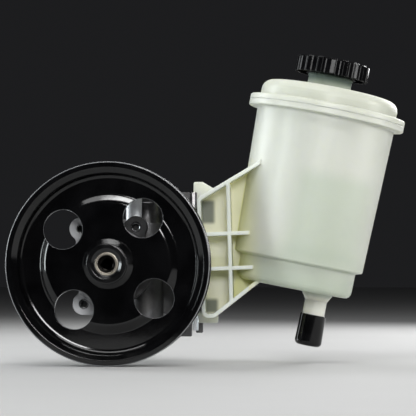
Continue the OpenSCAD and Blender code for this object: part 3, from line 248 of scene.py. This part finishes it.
surfaceGrain = makeGrain()
latheMarks = makeLatheMarks()
slabMask = makeSlab()
edgeWearHighlight = makeEdgeWearHighlight()


def useGroup(tree, group, place, **values):
    node = addNode(tree, "ShaderNodeGroup", node_tree=group, inputs=values)
    join(tree, place, node.inputs["Place"])
    return node


def useGrain(tree, place, finish):
    fineScale, broadScale = finish["grain"]
    low, high = finish["gloss"]
    values = {"Fine Scale": fineScale, "Broad Scale": broadScale, "Low": low, "High": high}
    return useGroup(tree, surfaceGrain, place, **values)


def slab(tree, value, low, high, soft):
    node = addNode(tree, "ShaderNodeGroup", node_tree=slabMask,
                   inputs={"From": low, "To": high, "Soft": soft})
    join(tree, value, node.inputs["Value"])
    return node.outputs["Mask"]


def wornEdgeLight(tree, reach):
    return addNode(tree, "ShaderNodeGroup", node_tree=edgeWearHighlight, inputs={"Reach": reach}).outputs["Mask"]


print("shared effects ready")

# gloss black paint of the pressed pulley
pulleyPaint = {
    "black": (0.0011, 0.0011, 0.0013),
    "dust": (0.0028, 0.0028, 0.0031),
    "grain": (420.0, 35.0),
    "gloss": (0.05, 0.10),
    "orangePeel": (0.016, 0.0004),
    "edge": 0.0007,
    "wornEdgeHighlight": (0.150, 0.152, 0.158),
    "rubbed": (0.19, 0.193, 0.200),
    "rimRadius": (0.0793, 0.0806, 0.0004),
    "rimFront": (-0.0138, -0.0141),
}


def makePulleyPaint():
    material, tree, shader, place = newMaterial("pulleyPaint")
    grain = useGrain(tree, place, pulleyPaint)
    turned = useGroup(tree, latheMarks, place)
    along = axes(tree, place)[1]
    colour = blendColours(tree, grain.outputs["Tone"], pulleyPaint["black"], pulleyPaint["dust"])
    # painted highlight with worn paint: thin light lines along every edge
    colour = blendColours(tree, wornEdgeLight(tree, pulleyPaint["edge"]), colour, pulleyPaint["wornEdgeHighlight"])
    # painted highlight on the rim's front corner, where the lamps catch the edge
    rimHighlight = both(tree, slab(tree, turned.outputs["Radius"], *pulleyPaint["rimRadius"]),
               ramp(tree, along, *pulleyPaint["rimFront"]))
    colour = blendColours(tree, rimHighlight, colour, pulleyPaint["rubbed"])  # painted highlight: a light ring along the rim's front corner
    join(tree, colour, shader.inputs["Base Color"])
    join(tree, grain.outputs["Gloss"], shader.inputs["Roughness"])
    relief(tree, shader, grain.outputs["Height"], *pulleyPaint["orangePeel"], pulleyPaint["edge"])
    return material


# blackened turned steel of the hub
hubBlack = {
    "black": (0.0012, 0.0012, 0.0014),
    "rubbed": (0.0032, 0.0032, 0.0036),
    "grain": (700.0, 90.0),
    "gloss": (0.12, 0.20),
    "feed": 0.0006,
    "marks": (0.03, 0.0002),
    "edge": 0.0008,
    "wornEdgeHighlight": (0.090, 0.091, 0.095),
}


def makeHubBlack():
    material, tree, shader, place = newMaterial("hubBlack")
    grain = useGrain(tree, place, hubBlack)
    turned = useGroup(tree, latheMarks, place, Pitch=hubBlack["feed"])
    colour = blendColours(tree, grain.outputs["Tone"], hubBlack["black"], hubBlack["rubbed"])
    # painted highlight with worn paint: thin light lines along every edge
    colour = blendColours(tree, wornEdgeLight(tree, hubBlack["edge"]), colour, hubBlack["wornEdgeHighlight"])
    join(tree, colour, shader.inputs["Base Color"])
    join(tree, grain.outputs["Gloss"], shader.inputs["Roughness"])
    relief(tree, shader, turned.outputs["Height"], *hubBlack["marks"], hubBlack["edge"])
    return material


# turned metals; the shaft has a warm oil film, a bright ring on its end and painted shade in the end's
# recess
turnedShared = {"grain": (900.0, 120.0), "marks": (0.15, 0.0002)}

shaftSteel = {
    **turnedShared,
    "steel": (0.46, 0.42, 0.36),
    "stained": (0.33, 0.30, 0.25),
    "gloss": (0.24, 0.34),
    "feed": 0.0010,
    "edge": 0.0004,
    "oil": (0.012, 0.011, 0.010),
    "recess": (0.0072, 0.0070),
    "line": (0.0076, 0.0079, 0.0001),
    "endFace": (-0.0189, -0.0190),
}

groundSteel = {
    **turnedShared,
    "steel": (0.62, 0.63, 0.65),
    "stained": (0.44, 0.44, 0.45),
    "gloss": (0.22, 0.36),
    "feed": 0.0010,
    "edge": 0.0003,
}

springSteel = {
    **turnedShared,
    "steel": (0.40, 0.40, 0.41),
    "stained": (0.24, 0.23, 0.22),
    "gloss": (0.25, 0.40),
    "feed": 0.0005,
    "edge": 0.0002,
}

cageBrass = {
    **turnedShared,
    "steel": (0.72, 0.52, 0.22),
    "stained": (0.50, 0.34, 0.14),
    "gloss": (0.24, 0.42),
    "feed": 0.0004,
    "edge": 0.0002,
}

bushBronze = {
    **turnedShared,
    "steel": (0.56, 0.38, 0.20),
    "stained": (0.34, 0.22, 0.12),
    "gloss": (0.34, 0.55),
    "feed": 0.0004,
    "edge": 0.0002,
}


def makeTurnedSteel(name, finish):
    material, tree, shader, place = newMaterial(name)
    grain = useGrain(tree, place, finish)
    turned = useGroup(tree, latheMarks, place, Pitch=finish["feed"])
    colour = blendColours(tree, grain.outputs["Tone"], finish["steel"], finish["stained"])
    if "recess" in finish:  # painted shade darkens the recess in the shaft's end, and a dark line is painted around it
        along = axes(tree, place)[1]
        recessShade = ramp(tree, turned.outputs["Radius"], *finish["recess"])
        line = both(tree, slab(tree, turned.outputs["Radius"], *finish["line"]),
                    ramp(tree, along, *finish["endFace"]))
        colour = blendColours(tree, mathNode(tree, "MAXIMUM", recessShade, line), colour, finish["oil"])
    join(tree, colour, shader.inputs["Base Color"])
    join(tree, grain.outputs["Gloss"], shader.inputs["Roughness"])
    shader.inputs["Metallic"].default_value = 1.0
    relief(tree, shader, turned.outputs["Height"], *finish["marks"], finish["edge"])
    return material


# plated fittings and clips
platedShared = {"grain": (1500.0, 160.0), "bump": (0.04, 0.0002), "edge": 0.0003}

darkFitting = {
    **platedShared,
    "zinc": (0.17, 0.17, 0.175),
    "cloud": (0.075, 0.074, 0.072),
    "gloss": (0.28, 0.45),
}

platedSteel = {
    **platedShared,
    "zinc": (0.70, 0.72, 0.74),
    "cloud": (0.56, 0.57, 0.58),
    "gloss": (0.36, 0.48),
}


def makePlatedSteel(name, finish):
    material, tree, shader, place = newMaterial(name)
    grain = useGrain(tree, place, finish)
    colour = blendColours(tree, grain.outputs["Tone"], finish["zinc"], finish["cloud"])
    join(tree, colour, shader.inputs["Base Color"])
    join(tree, grain.outputs["Gloss"], shader.inputs["Roughness"])
    shader.inputs["Metallic"].default_value = 1.0
    relief(tree, shader, grain.outputs["Height"], *finish["bump"], finish["edge"])
    return material


# sand-grained casting, with the mounting face milled and the relief boss turned bright
castBody = {
    "skin": (0.120, 0.121, 0.125),
    "soot": (0.078, 0.076, 0.075),
    "milled": (0.62, 0.63, 0.65),
    "face": (0.0296, 0.0304, 0.00005),
    "faceDull": 1.05,
    "metal": (0.75, 0.25),  # on the skin and on the milled face
    "bare": (0.62, 0.64, 0.66),
    "bossX": (0.0080, 0.0275, 0.0004),
    "bossY": (0.0400, 0.0600, 0.0004),
    "bossFrom": (0.0349, 0.0355),
    "grain": (1100.0, 75.0),
    "gloss": (0.36, 0.60),
    "bump": (0.35, 0.0006),
    "millPitch": 0.0011,
    "millShare": 0.25,
    "edge": 0.0012,
}

innerCast = {**castBody, "skin": (0.034, 0.034, 0.036), "soot": (0.020, 0.020, 0.020)}  # painted shade: a darker copy of the casting for the inner ear, which lies in shade behind the pulley


def makeCastBody(name, finish):
    material, tree, shader, place = newMaterial(name)
    x, y, z = axes(tree, place)
    grain = useGrain(tree, place, finish)
    milled = useGroup(tree, latheMarks, place, Pitch=finish["millPitch"], Wander=0.0)
    face = slab(tree, y, *finish["face"])
    boss = both(tree, slab(tree, x, *finish["bossX"]), slab(tree, y, *finish["bossY"]),
                ramp(tree, z, *finish["bossFrom"]))
    skin = blendColours(tree, grain.outputs["Tone"], finish["skin"], finish["soot"])
    skin = blendColours(tree, boss, skin, finish["bare"])
    join(tree, blendColours(tree, face, skin, finish["milled"]), shader.inputs["Base Color"])
    dull = ramp(tree, face, 0.0, 1.0, 1.0, finish["faceDull"])
    join(tree, mathNode(tree, "MULTIPLY", grain.outputs["Gloss"], dull), shader.inputs["Roughness"])
    join(tree, ramp(tree, face, 0.0, 1.0, *finish["metal"]), shader.inputs["Metallic"])
    sand = both(tree, grain.outputs["Height"], inverse(tree, face))
    cuts = share(tree, both(tree, milled.outputs["Height"], face), finish["millShare"])
    relief(tree, shader, mathNode(tree, "ADD", sand, cuts), *finish["bump"], finish["edge"])
    return material


# milky moulded tank, with its places in its own leaning axes
tankPlastic = {
    "milk": (0.745, 0.770, 0.668),
    "grain": (520.0, 24.0),
    "gloss": (0.30, 0.42),
    "bump": (0.06, 0.0004),
    "cloud": (0.965, 1.0),
    "edge": 0.0009,
    "seeThrough": 0.12,
    "glow": 0.55,
    "glowDepth": 0.009,
    "glowColour": (1.0, 1.0, 0.8),
    "bending": 1.45,
    "foot": (0.1443, 0.065, -0.0199),
    "lean": 11.0,
    "ledge": (0.0205, 0.0221),
    "ledgeRadii": (0.0472, 0.0530),
    "draft": (0.0221, 0.1406),
    "widening": 0.0035,
    "wallSkin": (0.0003, 0.0012),  # where the bracket starts off the wall
    "lowTint": (0.535, 0.595, 0.490),
    "lowFade": (0.046, 0.002),
    "floorFade": (-0.004, 0.000),
    "feedAcross": (-0.040, -0.046),
    "feedHeight": (-0.030, -0.024),
    "canister": (0.78, 0.84, 0.79),
    "canisterAcross": (-0.012, 0.046, 0.020),
    "canisterHeight": (0.024, 0.094, 0.016),
    "canisterShare": 0.8,
    "lid": (0.90, 0.90, 0.88),
    "lidFrom": (0.1470, 0.1500),
    "lidTop": (0.1580, 0.1640),
    "lidDull": 0.30,
    "nipple": (0.97, 0.97, 0.80),
    "nippleHeight": (-0.002, -0.005),
    "nippleAcross": (0.004, 0.008),
    "neck": (0.105, 0.145, 0.120),
    "neckLow": (0.44, 0.49, 0.40),
    "neckFrom": (0.1660, 0.1675),
    "neckFade": (0.1668, 0.1722),
}

# the bracket's tints, painted light and painted shade, in the frame's axes: from, to and softness
bracketPlastic = {
    "plateTanLifted": (0.95, 0.93, 0.70),
    "plateX": (0.0712, 0.118, 0.002),
    "plateY": (0.0528, 0.0640, 0.004),
    "plateFoot": (-0.0430, -0.0420),
    "plateShare": 0.92,
    "ribSlope": 0.6235,  # of the sloping upper rib
    "topEar": (0.0092, 0.0104),
    "ribHighlight": (0.86, 0.93, 0.81),
    "ribX": (0.060, 0.119, 0.004),
    "ribY": (0.0300, 0.0350, 0.002),
    "ribTop": (0.0180, 0.0160),
    "cornerTanLifted": (0.97, 0.96, 0.50),
    "cornerX": (0.123, 0.100),
    "cornerY": (0.0640, 0.0600),
    "cornerZ": (-0.046, 0.078, 0.030),
    "cornerShare": 0.85,
    "oliveShade": (0.50, 0.51, 0.24),
    "creaseX": (0.096, 0.116, 0.010),
    "creaseY": (0.0500, 0.0600, 0.004),
    "creaseShare": 0.35,
    "plateFront": (0.0545, 0.0595, 0.001),
    "tubeX": (0.070, 0.104, 0.004),
    "tubeZ": (-0.013, 0.006, 0.004),
    "tubeShare": 0.22,
    "shade": (0.10, 0.125, 0.095),
    "upperPostX": (0.0660, 0.0806, 0.004),
    "upperPostZ": (0.0330, 0.0514, 0.004),
    "lowerPostX": (0.0668, 0.0833, 0.004),
    "lowerPostZ": (-0.0396, -0.0285, 0.004),
    "postShare": 0.85,
}


def tankAxes(tree, place):
    turn = (0.0, math.radians(tankPlastic["lean"]), 0.0)
    upright = addNode(tree, "ShaderNodeMapping", vector_type="TEXTURE",
                      inputs={"Location": tankPlastic["foot"], "Rotation": turn})
    join(tree, place, upright.inputs["Vector"])
    return axes(tree, upright.outputs["Vector"])


def paintTankTintsAndLight(tree, across, height):
    spots = tankPlastic
    feed = both(tree, ramp(tree, across, *spots["feedAcross"]), ramp(tree, height, *spots["feedHeight"]))
    aboveNipple = mathNode(tree, "MAXIMUM", ramp(tree, height, *spots["floorFade"]), feed)
    low = both(tree, ramp(tree, height, *spots["lowFade"]), aboveNipple)
    colour = blendColours(tree, low, spots["milk"], spots["lowTint"])
    # painted shade where the filter canister inside shows through the wall
    inside = both(tree, slab(tree, across, *spots["canisterAcross"]),
                  slab(tree, height, *spots["canisterHeight"]))
    colour = darken(tree, share(tree, inside, spots["canisterShare"]), colour, spots["canister"])
    # painted shade: the dome above the flange is darkened
    colour = darken(tree, ramp(tree, height, *spots["lidFrom"]), colour, spots["lid"])
    # painted light: the nipple under the tank is lightened against its shade
    nipple = both(tree, ramp(tree, height, *spots["nippleHeight"]),
                  ramp(tree, across, *spots["nippleAcross"]))
    colour = blendColours(tree, nipple, colour, spots["nipple"])
    # painted shade: the neck darkens towards the cap above it
    neck = blendColours(tree, ramp(tree, height, *spots["neckFade"]), spots["neckLow"], spots["neck"])
    return blendColours(tree, ramp(tree, height, *spots["neckFrom"]), colour, neck)


def paintBracketTintsAndLight(tree, colour, place, offTank):
    spots = bracketPlastic
    x, y, z = axes(tree, place)
    aboveRib = mathNode(tree, "SUBTRACT", z, mathNode(tree, "MULTIPLY", x, spots["ribSlope"]))
    underEar = inverse(tree, ramp(tree, aboveRib, *spots["topEar"]))
    front = slab(tree, y, *spots["plateFront"])
    plate = both(tree, slab(tree, x, *spots["plateX"]), slab(tree, y, *spots["plateY"]),
                 ramp(tree, z, *spots["plateFoot"]), underEar, offTank)
    ribHighlightMask = both(tree, slab(tree, x, *spots["ribX"]), slab(tree, y, *spots["ribY"]), offTank,
                ramp(tree, aboveRib, *spots["ribTop"]))
    corner = both(tree, ramp(tree, x, *spots["cornerX"]), slab(tree, z, *spots["cornerZ"]),
                  ramp(tree, y, *spots["cornerY"]), inverse(tree, offTank))
    crease = both(tree, slab(tree, x, *spots["creaseX"]), slab(tree, y, *spots["creaseY"]), underEar)
    tube = both(tree, slab(tree, z, *spots["tubeZ"]), slab(tree, x, *spots["tubeX"]), front)
    # painted shade of the posts behind the plate
    posts = [both(tree, slab(tree, x, *spots[post + "X"]), slab(tree, z, *spots[post + "Z"]), front)
             for post in ("upperPost", "lowerPost")]
    posts = mathNode(tree, "MAXIMUM", *posts)
    # tan of the plate, brightened as painted light against the shade of its ribs and walls
    colour = blendColours(tree, share(tree, plate, spots["plateShare"]), colour, spots["plateTanLifted"])
    # painted highlight on the ribs' fronts, which face the lamps
    colour = blendColours(tree, ribHighlightMask, colour, spots["ribHighlight"])
    # olive-tan tint of the tank by the bracket, lightened as painted light against the grazing shade
    colour = blendColours(tree, share(tree, corner, spots["cornerShare"]), colour, spots["cornerTanLifted"])
    # painted shade in the crease where plate meets tank, and a painted shadow of the feed tube behind
    # the plate
    colour = blendColours(tree, share(tree, crease, spots["creaseShare"]), colour, spots["oliveShade"])
    colour = blendColours(tree, share(tree, tube, spots["tubeShare"]), colour, spots["oliveShade"])
    return blendColours(tree, share(tree, posts, spots["postShare"]), colour, spots["shade"])


def makeTankPlastic():
    material, tree, shader, place = newMaterial("tankPlastic")
    across, depth, height = tankAxes(tree, place)
    grain = useGrain(tree, place, tankPlastic)
    ledge = ramp(tree, height, *tankPlastic["ledge"], *tankPlastic["ledgeRadii"], smooth=False)
    draft = ramp(tree, height, *tankPlastic["draft"], 0.0, tankPlastic["widening"], smooth=False)
    wallRadius = mathNode(tree, "ADD", ledge, draft)
    offWall = mathNode(tree, "SUBTRACT", fromCentre(tree, across, depth), wallRadius)
    offTank = ramp(tree, offWall, *tankPlastic["wallSkin"])  # the bracket, not the wall
    colour = paintBracketTintsAndLight(tree, paintTankTintsAndLight(tree, across, height), place, offTank)
    cloud = ramp(tree, grain.outputs["Tone"], 0.0, 1.0, *tankPlastic["cloud"])
    cloudy = addNode(tree, "ShaderNodeCombineColor")
    for socket in cloudy.inputs:
        join(tree, cloud, socket)
    colour = blendColours(tree, 1.0, colour, cloudy.outputs["Color"], "MULTIPLY")
    join(tree, colour, shader.inputs["Base Color"])
    lidTop = ramp(tree, height, *tankPlastic["lidTop"], 0.0, tankPlastic["lidDull"])
    join(tree, mathNode(tree, "ADD", grain.outputs["Gloss"], lidTop), shader.inputs["Roughness"])
    shader.inputs["Transmission Weight"].default_value = tankPlastic["seeThrough"]
    shader.inputs["Subsurface Weight"].default_value = tankPlastic["glow"]
    shader.inputs["Subsurface Radius"].default_value = tankPlastic["glowColour"]
    shader.inputs["Subsurface Scale"].default_value = tankPlastic["glowDepth"]
    shader.inputs["IOR"].default_value = tankPlastic["bending"]
    relief(tree, shader, grain.outputs["Height"], *tankPlastic["bump"], tankPlastic["edge"])
    return material


# black mouldings: screw cap, soft port cap, seals
mouldedShared = {"grain": (800.0, 70.0)}

capPlastic = {
    **mouldedShared,
    "black": (0.0018, 0.0018, 0.0022),
    "scuff": (0.0040, 0.0040, 0.0045),
    "gloss": (0.08, 0.15),
    "bump": (0.02, 0.0003),
    "edge": 0.0007,
    "shine": 0.10,
    "axis": -0.0025,  # the cap's centre, in the tank's axes
    "roof": (0.1864, 0.1869),
    "roofEdge": (0.0293, 0.0287),
    "roofDull": 0.70,
}

portVinyl = {
    **mouldedShared,
    "black": (0.0018, 0.0018, 0.0020),
    "scuff": (0.0045, 0.0045, 0.0050),
    "gloss": (0.06, 0.13),
    "bump": (0.03, 0.0003),
    "edge": 0.0008,
    "shine": 0.35,
}

sealRubber = {
    **mouldedShared,
    "black": (0.016, 0.016, 0.016),
    "scuff": (0.040, 0.038, 0.036),
    "gloss": (0.45, 0.65),
    "bump": (0.15, 0.0003),
    "edge": 0.0002,
    "shine": 0.5,
}


def makeBlackMoulding(name, finish):
    material, tree, shader, place = newMaterial(name)
    grain = useGrain(tree, place, finish)
    colour = blendColours(tree, grain.outputs["Tone"], finish["black"], finish["scuff"])
    join(tree, colour, shader.inputs["Base Color"])
    dull = grain.outputs["Gloss"]
    if "roof" in finish:  # the cap's top is grained, its flutes are smooth
        across, depth, height = tankAxes(tree, place)
        radius = fromCentre(tree, mathNode(tree, "SUBTRACT", across, finish["axis"]), depth)
        roof = both(tree, ramp(tree, height, *finish["roof"]), ramp(tree, radius, *finish["roofEdge"]))
        dull = mathNode(tree, "ADD", dull, share(tree, roof, finish["roofDull"]))
    join(tree, dull, shader.inputs["Roughness"])
    shader.inputs["Specular IOR Level"].default_value = finish["shine"]
    relief(tree, shader, grain.outputs["Height"], *finish["bump"], finish["edge"])
    return material


finishes = [
    (makePulleyPaint(), ["pulley"]),
    (makeHubBlack(), ["pulley_hub"]),
    (makeTurnedSteel("shaftSteel", shaftSteel), ["drive_shaft"]),
    (makeTurnedSteel("groundSteel", groundSteel),
     ["rotor", "vanes", "bearing_inner_race", "bearing_outer_race", "bearing_balls", "front_plate",
      "cam_ring", "rear_plate", "dowel_pins", "end_cover", "valve_spool"]),
    (makeTurnedSteel("springSteel", springSteel),
     ["rotor_snap_ring", "bearing_snap_ring", "plate_spring", "valve_spring", "end_cover_ring",
      "clip_upper"]),
    (makeTurnedSteel("cageBrass", cageBrass), ["bearing_cage"]),
    (makeTurnedSteel("bushBronze", bushBronze), ["shaft_bush"]),
    (makePlatedSteel("platedSteel", platedSteel), ["valve_plug", "clip_lower"]),
    (makePlatedSteel("darkFitting", darkFitting), ["outlet_fitting"]),
    (makeCastBody("castBody", castBody),
     ["pump_housing", "mount_ear_upper", "mount_ear_lower", "carrier_plate"]),
    (makeCastBody("innerCast", innerCast), ["mount_ear_inner"]),
    (makeTankPlastic(), ["reservoir_tank", "reservoir_top", "return_filter"]),
    (makeBlackMoulding("capPlastic", capPlastic), ["filler_cap", "dipstick"]),
    (makeBlackMoulding("portVinyl", portVinyl), ["return_port_cap"]),
    (makeBlackMoulding("sealRubber", sealRubber),
     ["shaft_seal", "end_cover_oring", "valve_plug_oring", "outlet_oring", "cap_gasket", "feed_oring"]),
]
for material, names in finishes:
    for name in names:
        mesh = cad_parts[name].data
        mesh.materials.clear()
        mesh.materials.append(material)
unfinished = set(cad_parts) - {name for material, names in finishes for name in names}
print("finishes given, nodes without one:", sorted(unfinished))

# cut threads in the tapped holes, the port and the shaft's end, and the spring under the valve spool
helixShared = {
    "steps": 32,  # around each turn
    "wireSides": 12,
    "ridgeSides": 3,
    "ridgeSize": 0.44,  # of the pitch
    "ridgeIn": 0.25,  # of its size, off the wall of the hole, so that only its foot is sunk there
    "smoothAngle": 40,
}
earTap = {"axis": "Y", "hole": 0.0034, "pitch": 0.00125,
          "body": "pump", "slot": "cast_body", "finish": "groundSteel"}
helixSettings = {
    "earThreadUpper": {**earTap, "start": (-0.0258, 0.0309, 0.0281), "turns": 10},
    "earThreadLower": {**earTap, "start": (-0.0232, 0.0313, -0.0321), "turns": 9},
    "earThreadInner": {**earTap, "start": (0.0185, 0.0326, 0.0295), "turns": 5},
    "shaftThread": {"start": (0.0, -0.0147, 0.0), "axis": "Y", "hole": 0.0051, "pitch": 0.00175,
                    "turns": 10, "body": "drive", "slot": "shaft_steel", "finish": "shaftSteel"},
    "portThread": {"start": (0.026, 0.056, 0.0595), "axis": "Z", "hole": 0.00725, "pitch": -0.0015,
                   "turns": 10, "body": "pump", "slot": "fitting_steel", "finish": "darkFitting"},
    "valveSpring": {"start": (0.026, 0.056, -0.0331), "axis": "Z", "coil": 0.0033, "wire": 0.0008,
                    "pitch": 0.00365, "turns": 6,
                    "body": "pump", "slot": "spring_steel", "finish": "springSteel"},
}


def makeHelix(name, setting):
    if "wire" in setting:
        sides, size, radius = helixShared["wireSides"], setting["wire"], setting["coil"]
    else:  # a thread's ridge
        sides, size = helixShared["ridgeSides"], abs(setting["pitch"]) * helixShared["ridgeSize"]
        radius = setting["hole"] - size * helixShared["ridgeIn"]
    start = setting["start"]
    bpy.ops.object.select_all(action="DESELECT")
    bpy.ops.mesh.primitive_circle_add(vertices=sides, radius=size, fill_type="NGON", location=start)
    helix = bpy.context.object
    helix.name = name
    bpy.ops.object.mode_set(mode="EDIT")
    bpy.ops.mesh.select_all(action="SELECT")
    bpy.ops.transform.rotate(value=-math.pi / 2, orient_axis="Z", center_override=start)
    if setting["axis"] == "Z":  # the section stands in the plane of the axis
        bpy.ops.transform.rotate(value=math.pi / 2, orient_axis="X", center_override=start)
    bpy.ops.transform.translate(value=(radius, 0.0, 0.0))
    bpy.ops.mesh.delete(type="ONLY_FACE")
    bpy.ops.object.mode_set(mode="OBJECT")
    wind = helix.modifiers.new("wind", "SCREW")
    wind.axis = setting["axis"]
    wind.screw_offset = setting["pitch"]
    wind.iterations = setting["turns"]
    wind.steps = helixShared["steps"]
    wind.render_steps = helixShared["steps"]
    bpy.ops.object.modifier_apply(modifier="wind")
    bpy.ops.object.mode_set(mode="EDIT")
    bpy.ops.mesh.select_all(action="SELECT")
    bpy.ops.mesh.fill_holes(sides=sides)
    bpy.ops.mesh.select_all(action="SELECT")
    bpy.ops.mesh.normals_make_consistent(inside=False)
    bpy.ops.object.mode_set(mode="OBJECT")
    bpy.ops.object.transform_apply(location=True, rotation=True, scale=True)
    bpy.ops.object.shade_smooth_by_angle(angle=math.radians(helixShared["smoothAngle"]))
    helix.data.materials.append(bpy.data.materials[setting["finish"]])
    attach(helix, setting["body"])
    return helix


for name, setting in helixSettings.items():
    helix = makeHelix(name, setting)
    if name == "valveSpring":
        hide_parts("valve_spring")
        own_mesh(helix)
print("threads and spring wound:", len(helixSettings))

# plain pale floor in front of a dark ground
stageSettings = {
    "floorHalf": 3.0,
    "floorX": 0.1,
    "floorFront": -0.62,
    "floorGap": 0.0002,  # under the lowest point of the solids
    "floorColour": (0.49, 0.49, 0.487),
    "paler": 1.03,
    "mottle": {"Scale": 6.0, "Detail": 3.0},
    "mottleSpan": (0.3, 0.7),
    "roughness": 0.9,
    "specular": 0.15,
    "worldColour": (0.012, 0.0122, 0.0132),
}


def makeFloor():
    half = stageSettings["floorHalf"]
    top = cadLow.z - stageSettings["floorGap"]
    middle = (stageSettings["floorX"], stageSettings["floorFront"] + half, top)
    bpy.ops.object.select_all(action="DESELECT")
    bpy.ops.mesh.primitive_plane_add(size=2 * half, location=middle)
    floor = bpy.context.object
    floor.name = "paleFloor"
    bpy.ops.object.transform_apply(location=True, rotation=True, scale=True)
    material, tree, shader, place = newMaterial("paleFloor")
    noise = addNode(tree, "ShaderNodeTexNoise", inputs=stageSettings["mottle"])
    join(tree, place, noise.inputs["Vector"])
    tone = ramp(tree, noise.outputs["Fac"], *stageSettings["mottleSpan"])
    colour = stageSettings["floorColour"]
    paler = tuple(c * stageSettings["paler"] for c in colour)
    join(tree, blendColours(tree, tone, colour, paler), shader.inputs["Base Color"])
    shader.inputs["Roughness"].default_value = stageSettings["roughness"]
    shader.inputs["Specular IOR Level"].default_value = stageSettings["specular"]
    floor.data.materials.append(material)


def makeWorld():
    world = bpy.data.worlds.new("studio")
    world.use_nodes = True
    background = world.node_tree.nodes["Background"]
    background.inputs["Color"].default_value = (*stageSettings["worldColour"], 1.0)
    background.inputs["Strength"].default_value = 1.0
    scene.world = world


# soft lamps, all turned to one target
lampTarget = (0.12, 0.03, 0.04)
plainWhite = (1.0, 1.0, 1.0)
lampSettings = {
    "topSoftbox": {"place": (0.02, -0.60, 0.98), "size": (1.20, 0.24), "power": 2.6},
    "topStrip": {"place": (0.08, -0.575, 0.94), "size": (0.60, 0.05), "power": 1.4},
    "hubStrip": {"place": (0.03, -0.26, 1.00), "size": (0.90, 0.12), "power": 2.0},
    "topRim": {"place": (-0.05, 0.42, 0.92), "size": (0.90, 0.40), "power": 3.0},
    "leftSoftbox": {"place": (-0.95, -0.585, 0.06), "size": (0.22, 0.80), "power": 6.5,
                    "tint": (0.90, 0.98, 1.0)},
    "leftRim": {"place": (-0.85, 0.40, 0.30), "size": (0.45, 0.90), "power": 6.0,
                "tint": (0.94, 0.98, 1.0)},
    "frontFill": {"place": (0.26, -1.52, 0.46), "size": (0.60, 0.44), "power": 12.5},
    "rightStrip": {"place": (1.05, -0.10, 0.25), "size": (0.14, 0.80), "power": 4.5},
    "backGlow": {"place": (0.55, 0.85, 0.45), "size": (0.60, 0.60), "power": 7.0},
}


def makeLamps():
    for name, lamp in lampSettings.items():
        bpy.ops.object.light_add(type="AREA", location=lamp["place"])
        light = bpy.context.object
        light.name = name
        light.data.shape = "ELLIPSE"
        light.data.size, light.data.size_y = lamp["size"]
        light.data.energy = lamp["power"]
        light.data.color = lamp.get("tint", plainWhite)
        towards = Vector(lampTarget) - Vector(lamp["place"])
        light.rotation_euler = towards.to_track_quat("-Z", "Y").to_euler()


# camera at the photograph's place
cameraSettings = {
    "place": (0.154, -1.600, 0.0),
    "turn": 2.719,
    "tilt": 1.569,
    "focalPixels": 2040.24,
    "frame": 416,
    "farEnd": 50.0,
}


def makeCamera():
    bpy.ops.object.camera_add(location=cameraSettings["place"])
    camera = bpy.context.object
    camera.name = "photoCamera"
    tilt = math.radians(90 + cameraSettings["tilt"])
    camera.rotation_euler = (tilt, 0.0, math.radians(cameraSettings["turn"]))
    camera.data.sensor_fit = "HORIZONTAL"
    camera.data.angle = 2 * math.atan(cameraSettings["frame"] / 2 / cameraSettings["focalPixels"])
    camera.data.clip_end = cameraSettings["farEnd"]
    scene.camera = camera


makeFloor()
makeWorld()
makeLamps()
makeCamera()
print("stage, lamps and camera placed")
